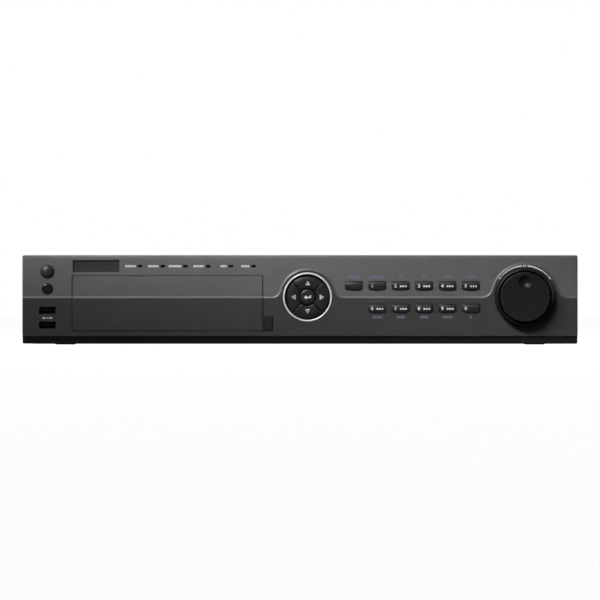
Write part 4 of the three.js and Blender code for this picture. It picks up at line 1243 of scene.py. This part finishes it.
REAR = panel.y1
video = extent("video_connector_block")
audio = extent("audio_connector_block")
network = extent("network_port")
rear_usb = extent("rear_usb_port")
hdmi = extent("hdmi_port")
vga = extent("vga_connector")
terminals = extent("alarm_terminal_block")
inlet = extent("power_inlet")
housing = extent("power_switch_housing")
fan = extent("fan_frame")
ground = extent("ground_screw")

UPPER_ROW, LOWER_ROW = network.z, terminals.z
video_spots = [(video.x0 + 7.5 + i * 16.5, z) for i in range(8) for z in (UPPER_ROW, LOWER_ROW)]
audio_spots = [(audio.x + side * 7.5, z) for side in (-1, 1) for z in (UPPER_ROW, LOWER_ROW)]
PORT_GAP = 0.2  # a port's opening is this much wider and taller than the port


def behind(outline):
    """Redraws an outline given in (x, z) so that it can be used on a surface that faces backwards."""
    return [(-x, z) for x, z in outline]


def rear_sheet(outlines, thickness, y, bevel=0.3, rounds=1):
    """A plate whose front faces backwards at y, with its outlines given in (x, z)."""
    return sheet([behind(line) for line in outlines], thickness, facing_back(y), bevel, rounds)


def fan_grille():
    """Slots in three rings, left open where four spokes cross."""
    slots = [circle(fan.x, fan.z, 3.0, 32)]
    for inner, outer in ((5.2, 9.2), (11.4, 15.4), (17.6, 21.8)):
        for k in range(4):
            middle = math.pi / 4 + k * math.pi / 2
            wide = math.pi / 4 - 1.5 / outer
            narrow = math.pi / 4 - 1.5 / inner
            slot = arc(fan.x, fan.z, outer, middle - wide, middle + wide, 20)
            slot += arc(fan.x, fan.z, inner, middle + narrow, middle - narrow, 14)
            slots.append(slot)
    return slots


def make_panel():
    rim = rectangle(panel.x, panel.z, panel.width, panel.height, 0.5)
    ports = (network, rear_usb, hdmi, vga, terminals)
    holes = [rectangle(p.x, p.z, p.width + PORT_GAP, p.height + PORT_GAP, 0.3) for p in ports]
    holes.append(rectangle(inlet.x, inlet.z, 27.8, 20.2, 1))
    holes.append(rectangle(housing.x, housing.z, 14.4, 19.4, 0.5))
    holes += [circle(x, z, 5.1, 32) for x, z in video_spots]
    holes += [circle(x, z, 4.5, 32) for x, z in audio_spots]
    holes += fan_grille()
    return rear_sheet([rim] + holes, WALL, REAR, 0.15)


add("rear_plate", make_panel(), "paint", replaces=["rear_panel"])
top_z, low_z = panel.z1 - 4.2, panel.z0 + 4.4
plate_screws = [(x, REAR, top_z) for x in (-206, -70, 70, 206)] + [(x, REAR, low_z) for x in (-130, 14, 206)]
plate_screws += [(fan.x + u, REAR, fan.z + v) for u in (-21, 21) for v in (-21, 21)]
plate_screws += [(inlet.x + side * 20, inlet.y1 - 0.2, inlet.z) for side in (-1, 1)]
add("rear_screws", screws(plate_screws, 2.8, 1.5, TO_REAR), "nickel")


video_reach, audio_reach = video.y1 - REAR, audio.y1 - REAR  # how far the sockets stand out


def bnc():
    """A bayonet socket that points forwards from the panel's outer face at y = 0."""
    shell = [(4.0, -video_reach), (4.55, -video_reach), (4.8, 0.5 - video_reach), (4.8, -2.2)]
    shell += [(4.8, 15), (4.0, 15)]
    body = turned(soften(shell, 0.15, loop=True), 40, loop=True)
    for side in (-1, 1):
        lug = rod(1.0, -0.8, 1.2, 0.15, 16)
        body += fitted(lug, TO_RIGHT if side > 0 else TO_LEFT, side * 4.9, 3.6 - video_reach, 0)
    nut = sheet([hexagon(0, 0, 12.4), circle(0, 0, 4.75, 40)], 2.0, facing_front(-2.2), bevel=0.25, rounds=2)
    washer = tube(6.9, 4.7, -0.4, 0.05, 0.1)
    return body + nut + washer


def socket_core(outer, inner, front, back):
    return tube(outer, inner, front, back, 0.2, 32)


def over_spots(solid, spots):
    return joined(fitted(solid, TO_REAR, x, REAR, z) for x, z in spots)


video_back = soft_box(video.x0, video.x1, video.y0, video.y0 + 12, video.z0, video.z1, 0.5)
add("video_sockets", over_spots(bnc(), video_spots), "nickel", replaces=["video_connector_block"])
add("video_socket_housing", video_back, "moulded")
core = socket_core(2.6, 0.75, -video_reach + 2.2, 8)
floor_disc = socket_core(4.1, 2.5, -video_reach + 7, 8)
add("video_socket_cores", over_spots(core + floor_disc, video_spots), "white")
pin = tube(0.85, 0.45, -video_reach + 2.0, 6, 0.05, 20)
add("video_socket_contacts", over_spots(pin, video_spots), "gold")

rca = socket_core(4.15, 3.3, -audio_reach, 12) + tube(5.9, 4.1, -1.3, 0.05, 0.3)
add("audio_sockets", over_spots(rca, audio_spots), "nickel", replaces=["audio_connector_block"])
audio_back = soft_box(audio.x0, audio.x1, audio.y0, audio.y0 + 12, audio.z0, audio.z1, 0.5)
add("audio_socket_housing", audio_back, "moulded")
insert = socket_core(3.35, 1.7, -audio_reach + 0.5, 10) + rod(1.9, -audio_reach + 7.5, 10)
for name, tone, row in (("line_in", "red", UPPER_ROW), ("line_out", "white", LOWER_ROW)):
    spots = [(x, z) for x, z in audio_spots if z == row]
    add("audio_" + name + "_inserts", over_spots(insert, spots), tone)


def shell_port(port, hollow, depth):
    """A metal shell with a hollow of a given outline in (x, z), open to the rear."""
    rim = rectangle(port.x, port.z, port.width, port.height, 0.4)
    xs, zs = zip(*hollow)
    x0, x1, x2, x3 = port.x0 + 0.1, min(xs), max(xs), port.x1 - 0.1
    z0, z1, z2, z3 = port.z0 + 0.1, min(zs), max(zs), port.z1 - 0.1
    back = port.y1 - 0.5
    walls = [(x0, x1, back, z0, z3), (x2, x3, back, z0, z3), (x1, x2, back, z0, z1), (x1, x2, back, z2, z3)]
    walls.append((x1, x2, port.y1 - depth, z1, z2))
    solid = rear_sheet([rim, hollow], 1.0, port.y1, 0.25)
    for left, right, far, low, high in walls:
        solid += soft_box(left, right, port.y0, far, low, high, 0.05, 1)
    return solid


def spaced(x, count, pitch):
    """The places of count things in a row, a pitch apart, with its middle at x."""
    return [x + (i - (count - 1) / 2) * pitch for i in range(count)]


def contact_row(x, z, count, pitch, width, y0, y1):
    return joined(block(spot, z, width, 0.2, y0, y1, 0.05, 1) for spot in spaced(x, count, pitch))


hdmi_hollow = [(-7.1, 2.8), (7.1, 2.8), (7.1, -0.6), (5.2, -2.8), (-5.2, -2.8), (-7.1, -0.6)]
hdmi_hollow = moved(hdmi_hollow, hdmi.x, hdmi.z)
add("hdmi_shell", shell_port(hdmi, hdmi_hollow, 9), "nickel", replaces=["hdmi_port"])
add("hdmi_tongue", block(hdmi.x, hdmi.z + 0.2, 11.4, 1.2, hdmi.y0 + 3, hdmi.y1 - 0.7, 0.2), "moulded")
add("hdmi_contacts", contact_row(hdmi.x, hdmi.z - 0.45, 9, 1.1, 0.5, hdmi.y1 - 6, hdmi.y1 - 1), "gold")

usb_hollow = rectangle(rear_usb.x, rear_usb.z, rear_usb.width - 0.8, rear_usb.height - 0.8, 0.3)
add("rear_usb_shell", shell_port(rear_usb, usb_hollow, 11), "nickel", replaces=["rear_usb_port"])
tongue = block(rear_usb.x, rear_usb.z + 0.75, 11.1, 1.84, rear_usb.y0 + 2, rear_usb.y1 - 0.9, 0.25)
add("rear_usb_tongue", tongue, "white")
add("rear_usb_contacts", contact_row(rear_usb.x, rear_usb.z - 0.2, 4, 2.3, 1.0, REAR - 6, REAR - 1.2), "gold")

network_hollow = [(-5.95, 4.3), (5.95, 4.3), (5.95, -3.1), (3.1, -3.1), (3.1, -5.9), (-3.1, -5.9)]
network_hollow = moved(network_hollow + [(-3.1, -3.1), (-5.95, -3.1)], network.x, network.z)
add("network_shell", shell_port(network, network_hollow, 12), "nickel", replaces=["network_port"])
filler = joined(
    soft_box(network.x + low, network.x + high, network.y0, REAR - 0.2, network.z - 5.9, network.z - 3.1, 0.1)
    for low, high in ((-5.95, -3.1), (3.1, 5.95))
)
add("network_filler", filler, "moulded")
add("network_contacts", contact_row(network.x, network.z + 3.9, 8, 1.02, 0.45, REAR - 10, REAR - 1.5), "gold")
for name, tone, side in (("green", "green", -1), ("amber", "gold", 1)):
    light = block(network.x + side * 4.6, network.z + 5.6, 3.2, 1.4, REAR - 1, network.y1 + 0.04, 0.1)
    add("network_light_" + name, light, tone)


def d_shape(grow):
    """The computer-screen socket's outline, grown all round."""
    wide, narrow, half = 8.4 + grow, 6.9 + grow, 4 + grow
    line = [(-wide, half), (-narrow, -half), (narrow, -half), (wide, half)]
    return moved(soften(line, 2.0, loop=True, steps=5), vga.x, vga.z)


plate_rim = rectangle(vga.x, vga.z, vga.width, vga.height, 1.6)
vga_solid = rear_sheet([plate_rim, d_shape(-0.3)], 1.4, REAR + 1.0, 0.25)
vga_solid += rear_sheet([d_shape(0), d_shape(-0.6)], 6.4, vga.y1, 0.12)
for x in (vga.x - 12.5, vga.x + 12.5):
    vga_solid += rear_sheet([hexagon(x, vga.z, 5.0), circle(x, vga.z, 1.4, 20)], 4.5, REAR + 5.5)
vga_solid += soft_box(vga.x0 + 4, vga.x1 - 4, vga.y0, REAR - 0.5, vga.z0 + 0.5, vga.z1 - 0.5, 0.4)
add("vga_shell", vga_solid, "nickel", replaces=["vga_connector"])
pin_holes = [
    circle(vga.x + (i - 2) * 2.3 + shift, vga.z + row * 2.0, 0.55, 16)
    for row, shift in ((1, 0.5), (0, -0.6), (-1, 0.5))
    for i in range(5)
]
add("vga_insert", rear_sheet([d_shape(-0.65)] + pin_holes, 4.0, vga.y1 - 0.9, 0.08), "vga_blue")

PIN_PITCH, PIN_COUNT = 5.0, 12
WIRE_Z, CLAMP_Z = terminals.z - 3.6, terminals.z + 3.8  # heights of the wire holes and of the screws
pin_xs = spaced(terminals.x, PIN_COUNT, PIN_PITCH)
terminal_rim = rectangle(terminals.x, terminals.z, terminals.width, terminals.height, 0.3)
wire_holes = [rectangle(x, WIRE_Z, 3.0, 3.4, 0.3) for x in pin_xs]
screw_holes = [circle(x, CLAMP_Z, 1.75, 20) for x in pin_xs]
terminal_solid = rear_sheet([terminal_rim] + wire_holes + screw_holes, 4.2, terminals.y1, 0.2)
face_y, deep_y = terminals.y1 - 0.01, terminals.y1 - 4.1
terminal_solid += soft_box(terminals.x0, terminals.x1, terminals.y0, deep_y, terminals.z0, terminals.z1, 0.2)
ribs = joined(
    block(x - PIN_PITCH / 2, terminals.z, 0.35, terminals.height - 1, terminals.y1 - 0.8, face_y, 0.1, 1)
    for x in pin_xs[1:]
)
add("terminal_body", terminal_solid + ribs, "green", replaces=["alarm_terminal_block"])
slotted = sheet([circle(0, 0, 1.6, 20), rectangle(0, 0, 2.6, 0.5)], 0.8, facing_front(-0.8), bevel=0.1)
slotted += rod(1.5, -0.35, 0.4, 0.05, 20)
heads = joined(fitted(slotted, TO_REAR, x, terminals.y1 - 2.0, CLAMP_Z) for x in pin_xs)
heads += joined(block(x, WIRE_Z, 2.7, 0.8, terminals.y1 - 4, terminals.y1 - 2.6, 0.1) for x in pin_xs)
add("terminal_screws", heads, "nickel")

# Mains inlet and its switch

mouth = [(-12.3, 8.5), (12.3, 8.5), (12.3, -3.5), (7.3, -8.5), (-7.3, -8.5), (-12.3, -3.5)]
mouth = soften(mouth, 1.2, loop=True)
inlet_mouth = moved(mouth, inlet.x, inlet.z)
inlet_wall = moved([(u * 1.1, v * 1.13) for u, v in mouth], inlet.x, inlet.z)
ears = [(-23.3, 4), (-13.5, 11.4), (13.5, 11.4), (23.3, 4), (23.3, -4), (13.5, -11.4), (-13.5, -11.4)]
ears = moved(soften(ears + [(-23.3, -4)], 3.0, loop=True), inlet.x, inlet.z)
inlet_solid = rear_sheet([ears, inlet_mouth], inlet.y1 - REAR - 0.1, inlet.y1, 0.5, 2)
inlet_solid += rear_sheet([inlet_wall, inlet_mouth], 15.4, inlet.y1 - 0.3, 0.05)
inlet_solid += block(inlet.x, inlet.z, 27.0, 19.4, inlet.y0, inlet.y1 - 15, 0.3)
add("inlet_body", inlet_solid, "moulded", replaces=["power_inlet"])
pin_spots = moved([(-7, -1), (7, -1), (0, 3)], inlet.x, inlet.z)
pins = joined(block(x, z, 2, 4, inlet.y1 - 15.5, inlet.y1 - 3, 0.5) for x, z in pin_spots)
add("inlet_pins", pins, "nickel")

frame_rim = rectangle(housing.x, housing.z, housing.width, housing.height, 0.8)
mouth = rectangle(housing.x, housing.z, 11.7, 17.4, 0.5)
housing_wall = rectangle(housing.x, housing.z, 14.0, 19.1, 0.5)
housing_solid = rear_sheet([frame_rim, mouth], housing.y1 - REAR - 0.1, housing.y1, 0.4, 2)
housing_solid += rear_sheet([housing_wall, mouth], 9.0, housing.y1 - 0.2, 0.1)
housing_solid += block(housing.x, housing.z, 13.6, 18.8, housing.y0, housing.y1 - 9, 0.3)
add("switch_housing", housing_solid, "moulded", replaces=["power_switch_housing"])

ROCKER_TILT = math.radians(9)
ROCKER_AT = Matrix.Translation((housing.x, housing.y1 - 3, housing.z)) @ Matrix.Rotation(ROCKER_TILT, 4, "X")


def rocker_face(z):
    """How far the rocker's face stands out at height z: two dished halves that meet in a shallow ridge."""
    return 2.2 + 2.0 * (abs(z) / 8) ** 1.5


def make_rocker():
    heights = [-7.8 + 15.6 * i / 20 for i in range(21)]
    outline = [(-3.0, -7.2)] + [(rocker_face(z), z) for z in heights] + [(-3.0, 7.2)]
    return sheet([outline], 11.0, lambda u, v: (5.5, u, v), bevel=0.35, rounds=2).placed(ROCKER_AT)


def rocker_marks():
    """The line and the circle that say on and off."""
    raised = lambda u, v: (-u, rocker_face(v) + PRINT / 2, v)
    line = printed([rectangle(0, 4.6, 0.7, 3.2)], raised)
    ring_mark = printed([circle(0, -4.6, 1.7, 32), circle(0, -4.6, 1.1, 32)], raised)
    return (line + ring_mark).placed(ROCKER_AT)


add("rocker_cap", make_rocker(), "moulded", "rocker", ["power_rocker"])
add("rocker_marks", rocker_marks(), "white_ink", "rocker")

ground_head = screws([(ground.x, REAR + 0.3, ground.z)], 4.0, 2.3, TO_REAR)
add("ground_screw_head", ground_head, "nickel", replaces=["ground_screw"])
add("ground_washer", fitted(tube(5.2, 1.6, -0.35, 0.05), TO_REAR, ground.x, REAR, ground.z), "steel")

# Marks beside the rear sockets

rear_marks = Solid()
for i, (x, z) in enumerate(video_spots):
    number = str(8 - i // 2 + (8 if z == LOWER_ROW else 0))
    rear_marks += lettering(number, 2.4, x, z + 9.4, REAR + PRINT, back=True)
for x, z, count in (
    (network.x, network.z1 + 3, 3), (rear_usb.x, rear_usb.z1 + 3, 3), (hdmi.x, hdmi.z1 + 3, 4),
    (vga.x, vga.z1 + 3, 3), (terminals.x, terminals.z1 + 3, 8), (audio.x, audio.z1 + 1.5, 5),
    (audio.x, LOWER_ROW + 9.4, 5), (inlet.x, inlet.z0 - 4, 6),
):
    for u in spaced(x, count, 1.9):
        rear_marks += printed([behind(rectangle(u, z, 1.2, 1.6))], facing_back(REAR + PRINT / 2))
for i, x in enumerate(pin_xs):
    rear_marks += lettering(str(PIN_COUNT - i), 1.7, x, terminals.z0 - 2.6, REAR + PRINT, back=True)
add("rear_marks", rear_marks, "white_ink")

# --- Fan ---

dress("fan_frame", "moulded", 0.3)
rotor = extent("fan_rotor")
HUB_RADIUS, BLADE_REACH, BLADES = 9.0, 22.0, 7


def make_rotor():
    hub_line = [(0, rotor.y0), (HUB_RADIUS, rotor.y0), (HUB_RADIUS, rotor.y1), (0, rotor.y1)]
    solid = turned(soften(hub_line, 1.0), 48)
    for k in range(BLADES):
        start = 2 * math.pi * k / BLADES

        def blade(u, v):
            """u runs out along the blade and v across it, from -1 to 1; the blade is twisted and swept."""
            pitch = math.radians(44 - 14 * (u - HUB_RADIUS) / (BLADE_REACH - HUB_RADIUS))
            angle = start + v * 5.2 * math.cos(pitch) / u + 0.02 * (u - HUB_RADIUS)
            y = (rotor.y0 + rotor.y1) / 2 + v * 5.0 * math.sin(pitch)
            return (u * math.cos(angle), y, u * math.sin(angle))

        outline = rectangle((HUB_RADIUS + BLADE_REACH) / 2 - 0.4, 0, BLADE_REACH - HUB_RADIUS + 0.8, 2.0)
        cuts = levels(HUB_RADIUS, BLADE_REACH, 6)
        solid += sheet([outline], 0.9, blade, 0.02, 0, cuts, levels(-1, 1, 6))
    return solid.shifted(rotor.x, 0, rotor.z)


add("fan_rotor_moulding", make_rotor(), "moulded", "fan", ["fan_rotor"])
hub_label = rod(6.6, rotor.y1 - 0.2, rotor.y1 + 0.05, 0.02).shifted(rotor.x, 0, rotor.z)
add("fan_hub_label", hub_label, "label", "fan")

# --- Disc tray and what the case holds ---

tray = extent("disc_tray")
DISC_RADIUS, DISC_DEEP, SMALL_DISC = 60.5, 2.6, 40.5
disc_y = tray.y0 + 4 + DISC_RADIUS


def facing_up(z):
    return lambda u, v: (u, v, z)


def make_tray():
    rim = rectangle(tray.x, tray.y, tray.width, tray.depth, 2.0)
    low, high = disc_y - 17, tray.y1 - 12
    slot = rectangle(tray.x, (low + high) / 2, 34, high - low, 6, 8)
    deep, middle = tray.height - DISC_DEEP - 1.2, 1.2
    solid = sheet([rim, circle(tray.x, disc_y, DISC_RADIUS, 128)], DISC_DEEP, facing_up(tray.z1), 0.4, 2)
    inner = circle(tray.x, disc_y, SMALL_DISC, 96)
    solid += sheet([rim, inner], middle, facing_up(tray.z1 - DISC_DEEP), 0.2)
    return solid + sheet([rim, slot], deep, facing_up(tray.z1 - DISC_DEEP - middle), 0.3)


add("disc_tray_moulding", make_tray(), "moulded", "tray", ["disc_tray"])

for node, finish, bevel in (
    ("drive_case", "steel", 0.4), ("keypad_board", "board", 0.1), ("left_control_board", "board", 0.1),
    ("jog_encoder", "moulded", 0.3), ("hdd_bracket", "steel", 0.2), ("hard_disk_1", "aluminium", 0.6),
    ("hard_disk_2", "aluminium", 0.6), ("main_board", "board", 0.1), ("heat_sink", "aluminium", 0.15),
    ("power_supply", "steel", 0.4),
):
    dress(node, finish, bevel)
